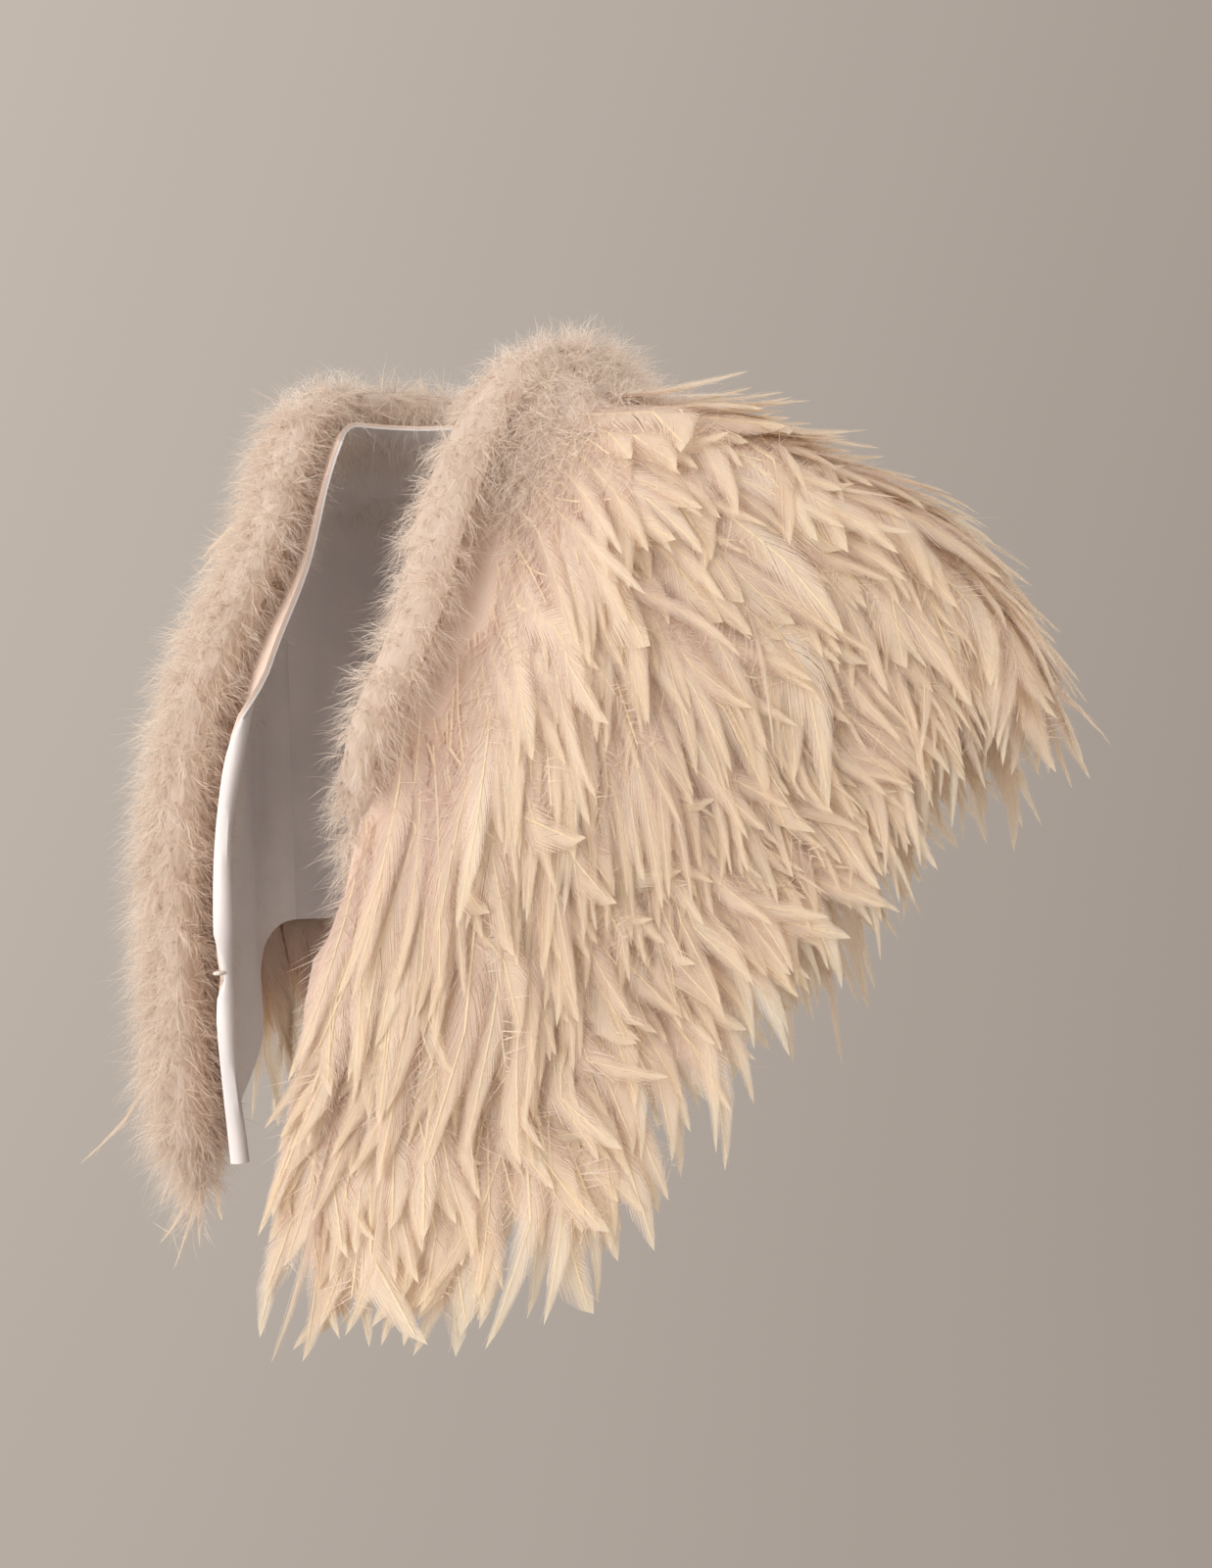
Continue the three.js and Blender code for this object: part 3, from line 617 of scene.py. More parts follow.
def hackle(index, collection):
    rng = np.random.default_rng(100 + index)
    fluffy = index % 3 == 2
    sway, wave = rng.uniform(-0.2, 0.2), rng.uniform(-0.05, 0.05)
    lift, curl = rng.uniform(0.07, 0.12), rng.uniform(-0.04, 0.07)
    half_wide = rng.uniform(5.2, 8.3) * MM
    cup = rng.uniform(0.1, 0.3)
    patch = Patch("along", "quill", "fleck", "side")

    def spine(t):
        x = HACKLE_LONG * (sway * t * t + wave * math.sin(6.3 * t))
        return np.array([x, HACKLE_LONG * t, HACKLE_LONG * (lift * t + curl * t**3)])

    def aside(t):
        return unit(np.cross(spine(t + 0.01) - spine(t - 0.01), UP))

    def barb(inner, out, along, shade, sides):
        trio = [patch.point(place, along=along[0], fleck=shade, side=sides[0]) for place in inner]
        trio.append(patch.point(out, along=along[1], fleck=shade, side=sides[1]))
        patch.faces.append(tuple(trio[::-1] if sides[1] > 0 else trio))

    if not fluffy:
        # The ridge takes some of the quill's ivory: partly the quill's own pale colour, partly a painted
        # highlight along the quill.
        ridge = [patch.point(spine(t), along=t, quill=0.35, fleck=0.9) for t, share in VANE]
        tip = patch.point(spine(1), along=1, quill=0.4, fleck=1)
    for side in (-1, 1):
        if not fluffy:
            edge = []
            for t, share in VANE:
                half = half_wide * share * rng.uniform(0.86, 1.06)
                place = spine(t + 0.03) + aside(t) * side * half - UP * cup * half
                edge.append(patch.point(place, along=t, fleck=rng.uniform(0.5, 1), side=side))
            for k in range(len(VANE) - 1):
                quad = (ridge[k], edge[k], edge[k + 1], ridge[k + 1])
                patch.faces.append(quad if side > 0 else quad[::-1])
            patch.faces.append((ridge[-1], edge[-1], tip) if side > 0 else (tip, edge[-1], ridge[-1]))
            for t in np.linspace(0.12, 0.9, SLIVERS) + rng.uniform(-0.03, 0.03, SLIVERS):
                half = half_wide * np.interp(t, *zip(*VANE))
                from_quill = aside(t) * side * half * 0.5 - UP * cup * half * 0.4
                inner = [spine(t + d) + from_quill for d in (-0.008, 0.008)]
                end = min(1.0, t + rng.uniform(0.14, 0.24) * (1.2 - 0.7 * t))
                reach = half_wide * np.interp(end, *zip(*VANE)) * rng.uniform(0.6, 1.1)
                out = spine(end) + aside(end) * side * reach - UP * half * (cup + rng.uniform(-0.3, 0.3))
                barb(inner, out, (t, end), rng.uniform(0.4, 1), (side * 0.1, side * 0.3))
        loose = np.linspace(0.01, 0.75, FLUFF_BARBS) if fluffy else np.linspace(0.01, 0.42, LOOSE_BARBS)
        for t in loose + rng.uniform(-0.02, 0.02, len(loose)):
            angle = math.radians(rng.uniform(15, 60))
            long = rng.uniform(10, 21) * MM * (1.1 - 0.5 * t)
            out = spine(t) + AHEAD * long * math.cos(angle) + aside(t) * side * long * math.sin(angle)
            inner = [spine(t + d) for d in (-0.0025, 0.0025)]
            out = out + UP * long * rng.uniform(-0.25, 0.45)
            barb(inner, out, (t, t + 0.1), rng.uniform(0.5, 1), (0, side * 0.3))
    rail = []
    for k in range(QUILL_STEPS + 1):
        t = k / QUILL_STEPS * (0.7 if fluffy else 0.95)
        half = np.interp(t, (0, 0.97), (0.45, 0.12)) * MM
        middle = spine(t) + UP * 0.0003
        numbers = {"along": t, "quill": 1, "fleck": 1}
        rail.append([patch.point(middle + (x * half, 0, 0), side=x * 0.1, **numbers) for x in (-1, 1)])
    for (a, b), (c, d) in zip(rail, rail[1:]):
        patch.faces.append((a, b, d, c))
    patch.stow(f"hackle_{index:02d}", collection)
    return sway, len(patch.faces)


HACKLE_KINDS = 12
feathers = bpy.data.collections.new("hackle feathers")
made = [hackle(index, feathers) for index in range(HACKLE_KINDS)]
SWAYS = np.array([sway for sway, faces in made])
print("faces in one hackle:", [faces for sway, faces in made])

# %% [markdown]
# Marabou is the soft down of the bird: a short stem from which long, limp barbs spread like a puff. A puff
# of a dozen curved hairs, each with one bend, is enough when thousands of them overlap.

# %% Puffs of down
PUFF_LONG, PUFF_HAIRS, PUFF_KINDS = 0.026, 12, 10
HAIR_HALF = 0.00012


def puff(index, collection):
    rng = np.random.default_rng(300 + index)
    patch = Patch("along", "side")

    def leaning(turn, spread):
        level = math.sin(spread)
        return np.array([math.cos(turn) * level, math.sin(turn) * level, math.cos(spread)])

    for hair in range(PUFF_HAIRS):
        turn, spread = rng.uniform(0, 2 * math.pi), math.radians(rng.uniform(6, 50))
        long = PUFF_LONG * rng.uniform(0.55, 1.05)
        middle = leaning(turn, spread) * long * 0.5
        bent = turn + rng.uniform(-0.6, 0.6)
        tip = middle + leaning(bent, spread + math.radians(rng.uniform(15, 60))) * long * 0.55
        wide = np.array([-math.sin(turn), math.cos(turn), 0]) * HAIR_HALF
        a, b = (patch.point(wide * x, along=0, side=x) for x in (-1.2, 1.2))
        c, d = (patch.point(middle + wide * x, along=0.5, side=x) for x in (1, -1))
        patch.faces += [(a, b, c, d), (d, c, patch.point(tip, along=1))]
    patch.stow(f"puff_{index:02d}", collection)
    return len(patch.faces)


puffs = bpy.data.collections.new("puffs of down")
print("faces in one puff:", [puff(index, puffs) for index in range(PUFF_KINDS)])

# %% [markdown]
# ## Sewing feathers to a draped surface
# Feathers are laid out flat on a pattern, row by row, and the whole flat layout is then wrapped on the
# drape. Geometry Nodes do both: a feather is placed on each point of the pattern, and Sample UV Surface
# looks up where that spot of the pattern lies on the drape and which way is out. Height above the
# pattern becomes height above the cloth, so the feathers follow each fold and hang on below the hem.

# %% The guide: the drape as a mesh that knows its pattern
PATTERN_WIDE, PATTERN_LONG = 0.9, 0.27
GUIDE_ROUND, GUIDE_DOWN = (-0.2, 1.2), (0.0, 1.75)
ON_TAPE, SPANNED = 0.0045, 0.6


def guide_mesh(columns=220, rows=120):
    u, v = np.meshgrid(np.linspace(*GUIDE_ROUND, columns), np.linspace(*GUIDE_DOWN, rows), indexing="ij")
    out = outward(u, v)
    over_trough = SPANNED * np.clip(-fold_at(u, v), 0, None)[..., None]
    points = (cloth(u, v, ON_TAPE, lapel=False) + out * over_trough).reshape(-1, 3)
    quads = quads_of(np.arange(u.size).reshape(u.shape))
    made = new_object("guide", points, quads.tolist(), {"out": out.reshape(-1, 3)})
    uv = np.stack([u.ravel() - GUIDE_ROUND[0], v.ravel()], -1) / 2
    made.data.uv_layers.new(name="pattern").uv.foreach_set("vector", uv[quads.ravel()].ravel())
    return made


helpers = bpy.data.collections.new("helpers")
bpy.context.scene.collection.children.link(helpers)
guide = guide_mesh()
helpers.objects.link(guide)


# %% Tree: place feathers on the pattern and wrap it
def new_tree(name, inputs):
    tree = bpy.data.node_groups.new(name, "GeometryNodeTree")
    for label, kind in (("Geometry", "Geometry"), *inputs):
        tree.interface.new_socket(label, in_out="INPUT", socket_type=f"NodeSocket{kind}")
    tree.interface.new_socket("Geometry", in_out="OUTPUT", socket_type="NodeSocketGeometry")
    return tree, add(tree, "NodeGroupInput").outputs


def end_tree(tree, geometry, material):
    dressed = add(tree, "GeometryNodeSetMaterial", {"Geometry": geometry, "Material": material})
    add(tree, "NodeGroupOutput", {"Geometry": dressed.outputs["Geometry"]})


def stored(tree, name, kind="FLOAT"):
    return add(tree, "GeometryNodeInputNamedAttribute", {"Name": name}, data_type=kind).outputs["Attribute"]


def kinds_of(tree, collection):
    picked = {"Collection": collection, "Separate Children": True, "Reset Children": True}
    return add(tree, "GeometryNodeCollectionInfo", picked)


def feather_tree():
    inputs = (("Guide", "Object"), ("Feathers", "Collection"), ("Lift", "Float"), ("Material", "Material"))
    tree, given = new_tree("Sew feathers to the drape", inputs)
    shapes = kinds_of(tree, given["Feathers"])
    turned = add(tree, "ShaderNodeCombineXYZ", {"Z": stored(tree, "turn")}).outputs[0]
    choice = {
        "Points": given["Geometry"],
        "Instance": shapes.outputs["Instances"],
        "Pick Instance": True,
        "Instance Index": stored(tree, "kind", "INT"),
        "Rotation": add(tree, "FunctionNodeEulerToRotation", {"Euler": turned}).outputs[0],
        "Scale": stored(tree, "size", "FLOAT_VECTOR"),
    }
    placed = add(tree, "GeometryNodeInstanceOnPoints", choice).outputs["Instances"]
    flat = add(tree, "GeometryNodeRealizeInstances", {"Geometry": placed}).outputs[0]
    shape = add(tree, "GeometryNodeObjectInfo", {"Object": given["Guide"]}, transform_space="ORIGINAL")
    position = add(tree, "GeometryNodeInputPosition").outputs[0]
    spot = add(tree, "ShaderNodeSeparateXYZ", {"Vector": position}).outputs
    across = maths(tree, "MULTIPLY_ADD", spot["X"], 0.5 / PATTERN_WIDE, -GUIDE_ROUND[0] / 2)
    down = maths(tree, "MULTIPLY", spot["Y"], 0.5 / PATTERN_LONG)
    sample_uv = add(tree, "ShaderNodeCombineXYZ", {"X": across, "Y": down}).outputs[0]

    def sampled(value):
        found = {"Mesh": shape.outputs["Geometry"], "Value": value, "Sample UV": sample_uv}
        found["Source UV Map"] = stored(tree, "pattern", "FLOAT_VECTOR")
        return add(tree, "GeometryNodeSampleUVSurface", found, data_type="FLOAT_VECTOR").outputs["Value"]

    height = maths(tree, "MULTIPLY", spot["Z"], given["Lift"])
    raised = vectors(tree, "SCALE", sampled(stored(tree, "out", "FLOAT_VECTOR")), height)
    moved = vectors(tree, "ADD", sampled(position), raised)
    wrapped = add(tree, "GeometryNodeSetPosition", {"Geometry": flat, "Position": moved})
    end_tree(tree, wrapped.outputs["Geometry"], given["Material"])
    return tree


FEATHER_TREE = feather_tree()


def run_tree(name, base, tree, values):
    """The tree's result on base as a plain mesh object called name."""
    helpers.objects.link(base)
    modifier = base.modifiers.new("nodes", "NODES")
    modifier.node_group = tree
    for item in tree.interface.items_tree:
        if item.item_type == "SOCKET" and item.in_out == "INPUT" and item.name in values:
            modifier[item.identifier] = values[item.name]
    graph = bpy.context.evaluated_depsgraph_get()
    mesh = bpy.data.meshes.new_from_object(base.evaluated_get(graph), depsgraph=graph)
    base.modifiers.remove(modifier)
    bpy.data.objects.remove(base)
    mesh.name = name
    return shown(bpy.data.objects.new(name, mesh))


# %% [markdown]
# A tier in the CAD model stands for four sewn rows, each close below the last. The rows of a tier are made
# here as a cloud of points on the pattern. Each point carries the feather's kind, turn, size and tone.
# Real hackles cling together in locks, so neighbours turn towards a shared line and share a habit of lie,
# length and tone. Slow swirls over the whole cape and a few thin strays make it look sewn by hand.

# %% Rows of feathers
TIERS = (  # name, down, feather length in mm, start from the right edge and from the left edge in mm
    ("tier_1", 0.150, 84, 62, 44),
    ("tier_2", 0.270, 92, 70, 40),
    ("tier_3", 0.390, 100, 76, 30),
    ("tier_4", 0.510, 106, 80, 12),
    ("tier_5", 0.630, 110, 82, 2),
    ("tier_6", 0.755, 112, 66, 0),
    ("tier_7", 0.880, 114, 48, 0),
)
ROWS, ROW_STEP, ROOT_PITCH = 4, 0.031, 0.0037
LOCK_WIDE = 0.026
LOCK_HABITS = (0.15, 0.08, 0.12)  # spread of turn in radians, length and tone from one lock to the next
EDGE_OVER = 0.004
STRAYS, STRAY_LONG, STRAY_WIDE, STRAY_HIGH = 0.012, 0.98, 0.4, 1.8
TURN_LIMITS = (-0.42, 0.52)


def flow(u, v):
    """How far the lie of the feathers turns aside, in radians: slow swirls over the whole cape."""
    swirl = 0.18 * np.sin(23 * u + 9 * v) + 0.14 * np.sin(41 * u - 17 * v + 1.7)
    swept = 0.26 * smooth((u - 0.5) / 0.2) * (1 - 0.5 * smooth((v - 0.3) / 0.4))
    return swept + 0.8 * (swirl + 0.1 * np.sin(67 * u + 31 * v + 0.6))


def shorter(u, v):
    """Feathers over the arm and the back of the shoulder are cut shorter towards the hem."""
    arm = np.exp(-(((u - 0.68) / 0.16) ** 2))
    lappet = smooth((u - 0.86) / 0.06) * smooth((v - 0.75) / 0.15)
    return 1 - 0.36 * arm * smooth((v - 0.25) / 0.5) + 0.085 * lappet


def standing(u, v):
    """Feathers stand out more on top of the shoulder, over the arm and beside the right trim."""
    top = 0.45 * smooth((0.3 - v) / 0.2)
    arm = 0.8 * np.exp(-(((u - 0.62) / 0.11) ** 2))
    return 1 + top + arm + 1.3 * smooth((0.34 - u) / 0.14)


def feather_roots(index, down, long, from_right, from_left):
    rng = np.random.default_rng(500 + index)
    rows = []
    for row in range(ROWS):
        v = down + (row - (ROWS - 1) / 2) * ROW_STEP
        u0 = round_from("right", from_right * MM, np.float64(v))
        u1 = round_from("left", from_left * MM, np.float64(v))
        fine = np.linspace(u0, u1, 400)
        steps = span(np.diff(drape(fine, v), axis=0))
        length = np.concatenate([[0], steps.cumsum()])
        count = int(length[-1] / ROOT_PITCH)
        at = (np.arange(count) + rng.uniform(0.05, 0.95, count)) / count * length[-1]
        locks = np.arange(-1, length[-1] / LOCK_WIDE + 2) * LOCK_WIDE + rng.uniform(-0.4, 0.4) * LOCK_WIDE
        locks = locks + rng.uniform(-0.35, 0.35, len(locks)) * LOCK_WIDE
        mine = np.abs(at[:, None] - locks).argmin(1)
        habits = rng.normal(0, LOCK_HABITS, (len(locks), len(LOCK_HABITS)))[mine]
        lie = np.stack([np.interp(at, length, fine), v + rng.normal(0, 0.008, count), locks[mine] - at], -1)
        rows.append(np.concatenate([lie, habits], -1))
    u, v, pull, lock_turn, lock_long, lock_tone = np.concatenate(rows).T
    across, along = across_along(u, v)
    count = len(u)
    stray = rng.random(count) < STRAYS
    longer = long * MM / HACKLE_LONG * rng.triangular(0.66, 0.95, 1.2, count) * shorter(u, v)
    longer = longer * np.where(stray, STRAY_LONG, 1) * (1 + np.clip(lock_long, -0.15, 0.15))
    turn = -0.85 * np.arctan2(pull, long * MM) + flow(u, v) + lock_turn + rng.normal(0, 0.1, count)
    turn = np.clip(turn, *TURN_LIMITS)
    kinds = rng.integers(0, HACKLE_KINDS, (2, count))
    kind = kinds[np.abs(1.6 * SWAYS[kinds] - turn).argmin(0), np.arange(count)]
    kind = np.where(stray & (kind % 3 == 2), kind - 1, kind)
    to_edge = (1 - u) * span(across)
    tip_over = np.arctan2(to_edge + EDGE_OVER, HACKLE_LONG * longer)
    turn = np.maximum(turn, SWAYS[kind] - tip_over)
    domed = 1.2 - 0.45 * np.clip(np.abs(pull) / LOCK_WIDE * 2, 0, 1)
    wide, tall = PATTERN_WIDE / span(across), PATTERN_LONG / span(along)
    wide = wide * longer * rng.uniform(0.7, 1.5, count) * np.where(stray, STRAY_WIDE, 1)
    high = longer * rng.uniform(0.75, 1.3, count) * standing(u, v) * np.where(stray, STRAY_HIGH, 1) * domed
    size = np.stack([wide, tall * longer, high], -1)
    points = np.stack([u * PATTERN_WIDE, v * PATTERN_LONG, np.zeros(count)], -1)
    tone = np.clip(rng.normal(0.5, 0.2, count) + lock_tone + 0.1 * np.sin(19 * u + 11 * v), 0, 1)
    return points, {"turn": turn, "size": size, "kind": kind, "tone": tone}


def bake_map(piece):
    """A UV map by tone and by place along the feather, so that one small picture can hold its colours."""
    mesh = piece.data
    corner = np.empty(len(mesh.loops), np.int32)
    mesh.loops.foreach_get("vertex_index", corner)
    numbers = {}
    for key in ("tone", "along", "side"):
        numbers[key] = np.empty(len(mesh.vertices), np.float32)
        mesh.attributes[key].data.foreach_get("value", numbers[key])
    u = 0.04 + 0.92 * numbers["tone"] + 0.025 * numbers["side"]
    uv = np.stack([u, 0.01 + 0.96 * numbers["along"]], -1)[corner]
    mesh.uv_layers.new(name="OFBake").uv.foreach_set("vector", uv.astype(np.float32).ravel())


def triangles(piece):
    return sum(len(p.vertices) - 2 for p in piece.data.polygons)


total = 0
for index, (name, down, long, from_right, from_left) in enumerate(TIERS):
    points, numbers = feather_roots(index, down, long, from_right, from_left)
    base = new_object(name, points, [], numbers)
    values = {"Guide": guide, "Feathers": feathers, "Lift": 1.0, "Material": HACKLE}
    piece = run_tree(f"hackles_{name}", base, FEATHER_TREE, values)
    bake_map(piece)
    dress(piece, f"feather_{name}")
    total += triangles(piece)
    print(piece.name, len(points), "feathers,", triangles(piece), "triangles")
print("hackles in all:", total)

# %% [markdown]
# ## The marabou trim
# The trim is a boa: down twisted round a cord into a thick soft roll, then sewn along the edges. It follows
# one smooth line from the right hem, up round the neck and down to the left hem, where it rolls off the
# edge and hangs behind it. The line follows the roll of the CAD model, with its puffs standing out from it.

# %% The line of the trim
TRIM_RIGHT = (  # down, inset from the edge, height of its middle, half width and half thickness in mm
    (1.07, 44, 19, 18, 9),
    (0.97, 46, 21.5, 35, 17),
    (0.80, 45, 21.5, 37, 17.5),
    (0.62, 44, 22, 37, 18),
    (0.44, 38, 22, 38, 18),
    (0.28, 29, 21, 34, 16.5),
    (0.16, 23, 20, 29, 14.5),
)
TRIM_NECK_DOWN, TRIM_NECK_SIZE = 0.068, (19, 26, 14)
TRIM_NECK = (0.25, 0.32, 0.38, 0.44, 0.5, 0.56, 0.62, 0.68, 0.75)
TRIM_LEFT = (
    (0.16, 11, 21, 25, 14),
    (0.28, 9, 18, 23, 14),
    (0.37, 10, 19, 20, 15),
    (0.45, 4, 19.5, 17, 15),
    (0.51, -2, 12, 15, 14),
    (0.58, -3, -4, 15, 14),
    (0.66, -3, -18, 15, 15),
    (0.78, 8, -18, 16, 16),
    (0.93, 6, -18, 16, 16),
    (1.03, -2, -16, 12, 11),
)


def trim_stop(rnd, down, lift, wide, thick, side=None, inset=0.0):
    held = min(down, 1.0)
    edge = float(round_from(side, max(0, inset) * MM, np.float64(held))) if side else rnd
    out = outward(np.float64(edge), np.float64(held))
    middle = drape(edge, down) + out * (lift * MM + fold_at(edge, down))
    if side and inset < 0:
        across = unit(across_along(np.float64(edge), np.float64(held))[0])
        middle = middle + across * (1 if side == "left" else -1) * -inset * MM
    return middle, out, wide * MM, thick * MM


stops = [trim_stop(0, d, lift, w, t, "right", inset) for d, inset, lift, w, t in TRIM_RIGHT]
stops += [trim_stop(u, TRIM_NECK_DOWN, *TRIM_NECK_SIZE) for u in TRIM_NECK]
stops += [trim_stop(1, d, lift, w, t, "left", inset) for d, inset, lift, w, t in TRIM_LEFT]


# %% A smooth line through the stops
def trim_line(fine=2400):
    """Points, tangents, outward directions and sizes along the trim, evenly spaced."""
    middles = np.array([stop[0] for stop in stops])
    ends = np.vstack([2 * middles[0] - middles[1], middles, 2 * middles[-1] - middles[-2]])
    last = len(middles) - 1
    t = np.linspace(0, last, fine)
    k = np.minimum(t.astype(int), last - 1)
    s = (t - k)[:, None]
    p0, p1, p2, p3 = (ends[k + n] for n in range(4))
    pairs = ((p0, p1), (p1, p2), (p2, p3))
    d0, d1, d2 = (span(b - a)[:, None] ** 0.5 for a, b in pairs)
    m1 = ((p1 - p0) / d0 - (p2 - p0) / (d0 + d1) + (p2 - p1) / d1) * d1
    m2 = ((p2 - p1) / d1 - (p3 - p1) / (d1 + d2) + (p3 - p2) / d2) * d1
    line = p1 + s * (m1 + s * (3 * (p2 - p1) - 2 * m1 - m2 + s * (m1 + m2 - 2 * (p2 - p1))))
    shared = smooth(s)
    others = [np.array([stop[n] for stop in stops]).reshape(last + 1, -1) for n in (1, 2, 3)]
    out, wide, thick = ((1 - shared) * x[k] + shared * x[k + 1] for x in others)
    way = unit(np.gradient(line, axis=0))
    out = unit(out - way * (out * way).sum(1, keepdims=True))
    run = np.concatenate([[0], span(np.diff(line, axis=0)).cumsum()])
    return t, run, line, way, out, wide, thick


ROLL_SIDES = 16
TRIM = trim_line()
print("trim length", round(TRIM[1][-1], 3), "m")


def roll(start, stop, fullness, step=0.008, sides=ROLL_SIDES):
    """Points and faces of the roll between two stops, at a share of its full size."""
    t, run, line, way, out, wide, thick = TRIM
    first, final = np.interp((start, stop), t, run)
    at = np.linspace(first, final, max(6, int((final - first) / step)))
    points = []
    for x in at:
        found = [np.array([np.interp(x, run, a[:, n]) for n in range(3)]) for a in (line, way, out)]
        middle, direction, outwards = found
        side = np.cross(direction, outwards)
        end = min(x, run[-1] - x) / run[-1] * 24
        taper = max(0.3, math.sqrt(1 - (1 - end) ** 2)) if end < 1 else 1
        size = [fullness * taper * np.interp(x, run, a[:, 0]) for a in (wide, thick)]
        for n in range(sides):
            angle = n / sides * 2 * math.pi
            points.append(middle + side * size[0] * math.cos(angle) + outwards * size[1] * math.sin(angle))
    faces = []
    for i in range(len(at) - 1):
        for n in range(sides):
            a, b = i * sides + n, i * sides + (n + 1) % sides
            faces.append((a, a + sides, b + sides, b))
    faces += [tuple(range(sides)), tuple(range(len(points) - 1, len(points) - sides - 1, -1))]
    return points, faces


# %% [markdown]
# The roll's heart is a plain closed tube. Geometry Nodes scatter puffs of down over it, each standing out
# from the surface, leaning with gravity and turned at random. At the collar a low skirt is joined to the
# roll, because there the down runs out over the first feathers.

# %% Tree: scatter down on the roll
def down_tree():
    inputs = (
        ("Puffs", "Collection"),
        ("Puffs per square metre", "Float"),
        ("Smallest", "Float"),
        ("Largest", "Float"),
        ("Droop", "Float"),
        ("Disorder", "Float"),
        ("Comb", "Vector"),
        ("Seed", "Int"),
        ("Material", "Material"),
    )
    tree, given = new_tree("Scatter down on a roll", inputs)
    scatter = {"Mesh": given["Geometry"], "Density": given["Puffs per square metre"], "Seed": given["Seed"]}
    spots = add(tree, "GeometryNodeDistributePointsOnFaces", scatter).outputs
    ends_of = {"FLOAT": ("Min_001", "Max_001"), "FLOAT_VECTOR": ("Min", "Max"), "INT": ("Min_002", "Max_002")}

    def chance(kind, low, high, seed_step):
        least, most = ends_of[kind]
        seed = maths(tree, "ADD", given["Seed"], seed_step)
        made = add(tree, "FunctionNodeRandomValue", {least: low, most: high, "Seed": seed}, data_type=kind)
        return next(s for s in made.outputs if s.enabled)

    tone = {"Geometry": spots["Points"], "Name": "tone", "Value": chance("FLOAT", 0.0, 1.0, 1)}
    toned = add(tree, "GeometryNodeStoreNamedAttribute", tone, data_type="FLOAT", domain="POINT")
    shake = vectors(tree, "SCALE", chance("FLOAT_VECTOR", (-1, -1, -1), (1, 1, 1), 2), given["Disorder"])
    lean = vectors(tree, "ADD", vectors(tree, "ADD", spots["Normal"], shake), given["Comb"])
    faced = add(tree, "FunctionNodeAlignRotationToVector", {"Vector": lean}, axis="Z").outputs[0]
    about = {"Axis": (0, 0, 1), "Angle": chance("FLOAT", 0.0, 2 * math.pi, 3)}
    turn = add(tree, "FunctionNodeAxisAngleToRotation", about).outputs[0]
    turns = {"Rotation": faced, "Rotate By": turn}
    spun = add(tree, "FunctionNodeRotateRotation", turns, rotation_space="LOCAL").outputs[0]
    choice = {
        "Points": toned.outputs["Geometry"],
        "Instance": kinds_of(tree, given["Puffs"]).outputs["Instances"],
        "Pick Instance": True,
        "Instance Index": chance("INT", 0, PUFF_KINDS - 1, 5),
        "Rotation": spun,
        "Scale": chance("FLOAT", given["Smallest"], given["Largest"], 4),
    }
    placed = add(tree, "GeometryNodeInstanceOnPoints", choice).outputs["Instances"]
    real = add(tree, "GeometryNodeRealizeInstances", {"Geometry": placed}).outputs[0]
    sag = maths(tree, "MULTIPLY", maths(tree, "POWER", stored(tree, "along"), 2.0), given["Droop"])
    fall = vectors(tree, "SCALE", (0, 0, -1), sag)
    hung = add(tree, "GeometryNodeSetPosition", {"Geometry": real, "Offset": fall})
    both = add(tree, "GeometryNodeJoinGeometry")
    tree.links.new(hung.outputs["Geometry"], both.inputs[0])
    tree.links.new(given["Geometry"], both.inputs[0])
    end_tree(tree, both.outputs[0], given["Material"])
    return tree


DOWN_TREE = down_tree()

# %% Dress the trim
RIGHT_STOP = len(TRIM_RIGHT) + np.interp(RIGHT_SEAM, TRIM_NECK, range(len(TRIM_NECK)))
LEFT_STOP = len(TRIM_RIGHT) + np.interp(LEFT_SEAM, TRIM_NECK, range(len(TRIM_NECK)))
TRIM_PIECES = (  # name, first and last stop, seed, fullness of the roll, smallest and largest puff
    ("right_front", 0, RIGHT_STOP, 11, 0.72, 0.7, 1.05),
    ("collar", RIGHT_STOP, LEFT_STOP, 12, 0.66, 0.7, 1.1),
    ("left_front", LEFT_STOP, len(stops) - 1, 13, 0.5, 0.6, 0.9),
)


PUFF_DENSITY = 50000.0
SKIRT_ROUND, SKIRT_DOWN, SKIRT_HIGH = (0.33, 0.88), (0.06, 0.29), 0.022


def skirt(columns=40, rows=8):
    """A low pad round the back of the neck, where the down runs out over the first feathers."""
    u, v = np.meshgrid(np.linspace(*SKIRT_ROUND, columns), np.linspace(*SKIRT_DOWN, rows), indexing="ij")
    hump = np.sin(np.linspace(0, math.pi, columns))[:, None] ** 0.5 * np.linspace(1, 0, rows)[None] ** 1.3
    points = cloth(u, v, 0.003 + SKIRT_HIGH * hump).reshape(-1, 3)
    return list(points), quads_of(np.arange(u.size).reshape(u.shape))[:, [0, 3, 2, 1]]


for name, start, stop, seed, fullness, smallest, largest in TRIM_PIECES:
    points, faces = roll(start, stop, fullness)
    if name == "collar":
        more, quads = skirt()
        faces += (quads + len(points)).tolist()
        points = points + more
    count = len(points)
    # The roll's core counts as 0.4 along, so it takes part of the down's painted root shade.
    flat = {"tone": np.full(count, 0.3), "along": np.full(count, 0.4)}
    flat["side"] = np.resize(np.linspace(-1, 1, ROLL_SIDES), count)
    base = new_object(f"roll_{name}", points, faces, flat)
    values = {
        "Puffs": puffs,
        "Puffs per square metre": PUFF_DENSITY,
        "Smallest": smallest,
        "Largest": largest,
        "Droop": 0.007,
        "Disorder": 0.9,
        "Comb": (0.0, 0.0, -0.45),
        "Seed": seed,
        "Material": DOWN,
    }
    piece = run_tree(f"marabou_{name}_down", base, DOWN_TREE, values)
    bake_map(piece)
    dress(piece, f"marabou_{name}")
    print(piece.name, triangles(piece), "triangles")

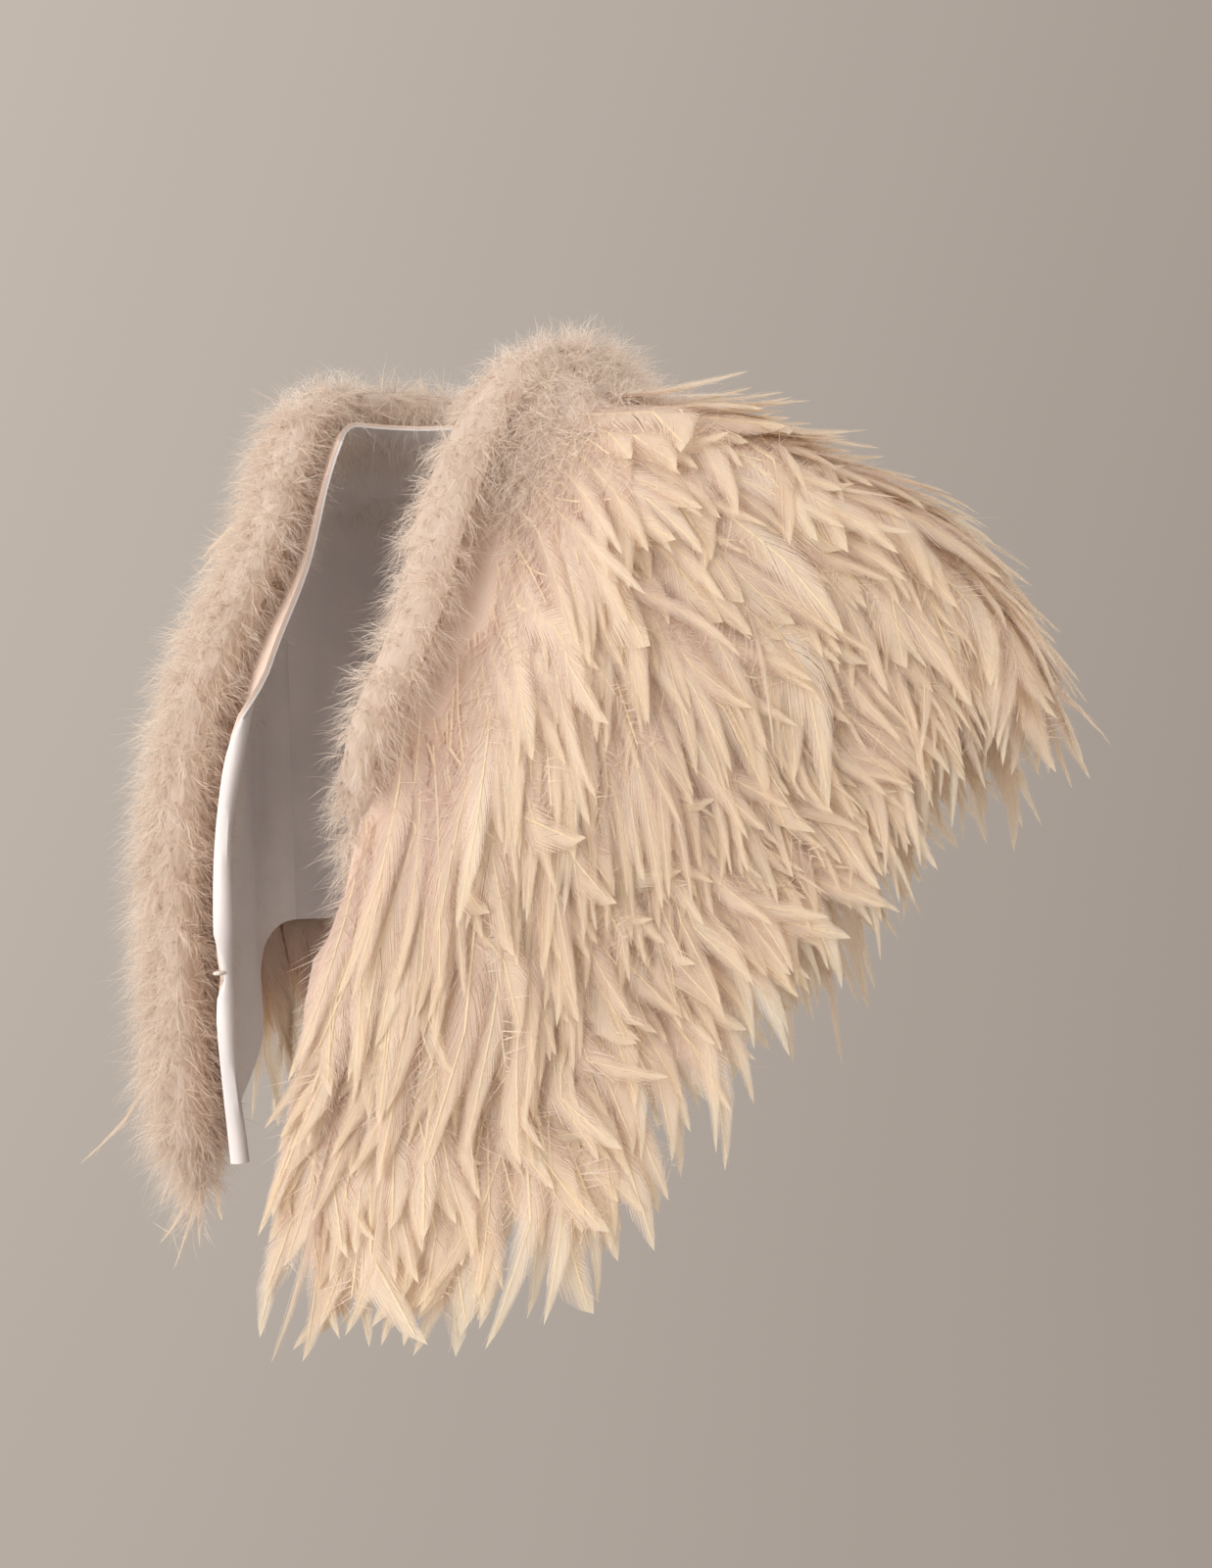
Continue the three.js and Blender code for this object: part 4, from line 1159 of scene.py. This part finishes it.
# %% [markdown]
# ## The hook
# The closure at the right edge is a small hook bound with buttonhole thread. Its shape is right in the CAD
# model, so it stays and only gets a finish: fine turns of silky thread.


# %% Thread finish
def thread_material():
    material, tree = new_material("binding_thread")
    place = add(tree, "ShaderNodeTexCoord").outputs["Object"]
    bands = {"Vector": place, "Scale": 900.0, "Distortion": 1.5}
    turns = add(tree, "ShaderNodeTexWave", bands, bands_direction="DIAGONAL").outputs["Fac"]
    # The thread is darker in the grooves between its turns and paler on their crests: painted shade and
    # highlight.
    colour = ramp(tree, turns, ((0.2, linear(196, 186, 172)), (0.8, linear(236, 230, 220))))
    bump = add(tree, "ShaderNodeBump", {"Height": turns, "Strength": 0.6, "Distance": 0.0002}).outputs[0]
    look = {"Base Color": colour, "Roughness": 0.45, "Normal": bump}
    finish(tree, add(tree, "ShaderNodeBsdfPrincipled", look))
    return material


hook = frame["nodes"]["closure_hook"]
hook.material_slots[0].link = "OBJECT"
hook.material_slots[0].material = thread_material()

# %% [markdown]

# %% [markdown]
# ## Stage and light
# A wide pale bowl is floor and backdrop in one, so that there is no corner from any side. It glows by
# itself, which takes less time to render than a lit wall. Its glow is painted light, brighter towards the
# camera's left and higher up and darker to the right and on the floor, as if lit from the left. One large
# soft lamp stands to the left of the camera, a weaker one to the right, small ones above and behind, and the
# sky fills the rest.

# %% Bowl, lamps and sky
def bowl(depth=-1.3, flat=1.6, wide=3.8, tall=2.6, sides=96, steps=24):
    bend = wide - flat
    profile = [(0.001, depth), (flat, depth)]
    for k in range(1, steps + 1):
        angle = k / steps * math.pi / 2
        profile.append((flat + bend * math.sin(angle), depth + bend * (1 - math.cos(angle))))
    profile.append((wide, depth + bend + tall))
    turns = np.linspace(0, 2 * math.pi, sides, endpoint=False)
    points = [(r * math.cos(a), r * math.sin(a), z) for r, z in profile for a in turns]
    faces = []
    for i in range(len(profile) - 1):
        for n in range(sides):
            a, b = i * sides + n, i * sides + (n + 1) % sides
            faces.append((a, b, b + sides, a + sides))
    material, tree = new_material("stage_painted_glow")
    place = add(tree, "ShaderNodeTexCoord").outputs["Object"]
    # The glow is painted light: brighter towards the camera's left and upwards, darker to the right and low
    # down.
    shade = remap(tree, vectors(tree, "DOT_PRODUCT", place, (*right[:2], -0.3)), -1.7, 1.7)
    paint = ramp(tree, shade, ((0.0, linear(197, 186, 176)), (1.0, linear(158, 147, 138))))
    finish(tree, add(tree, "ShaderNodeEmission", {"Color": paint}))
    return shown(new_object("stage_bowl", points, faces), material)


bowl()


def lamp(name, turn, high, far, size, power, colour):
    light = bpy.data.lights.new(name, "AREA")
    light.size, light.energy, light.color = size, power, colour
    made = bpy.data.objects.new(name, light)
    bpy.context.scene.collection.objects.link(made)
    azimuth = CAMERA_TURN + math.radians(turn)
    target = np.array([0.02, 0.0, -0.2])
    spot = np.array([math.sin(azimuth) * far, -math.cos(azimuth) * far, high])
    made.location = target + spot
    away = unit(spot)
    made.rotation_euler = (math.acos(away[2]), 0, math.atan2(away[1], away[0]) + math.pi / 2)
    made.visible_camera = False
    return made


WARM, PALE = (1.0, 0.96, 0.92), (1.0, 0.985, 0.97)
lamp("key", -52, 0.4, 1.9, 2.4, 68, PALE)
lamp("fill", 50, 0.6, 2.0, 2.0, 29, WARM)
lamp("top", 10, 1.9, 0.6, 1.4, 6, WARM)
lamp("behind", 170, 1.2, 1.8, 2.0, 12, PALE)

world = bpy.data.worlds.new("sky")
bpy.context.scene.world = world
world.use_nodes = True
sky = world.node_tree.nodes["Background"].inputs
sky["Color"].default_value = (*PALE, 1)
sky["Strength"].default_value = 0.5
bpy.context.scene.view_settings.view_transform = "Standard"

# %% [markdown]
# The helpers were only needed to lay out the pattern, so they go before the scene is closed.

# %% Clear the helpers and finish
bpy.data.objects.remove(guide)
for collection in (feathers, puffs, helpers):
    for item in list(collection.objects):
        bpy.data.objects.remove(item)
    bpy.data.collections.remove(collection)

bpy.context.view_layer.update()
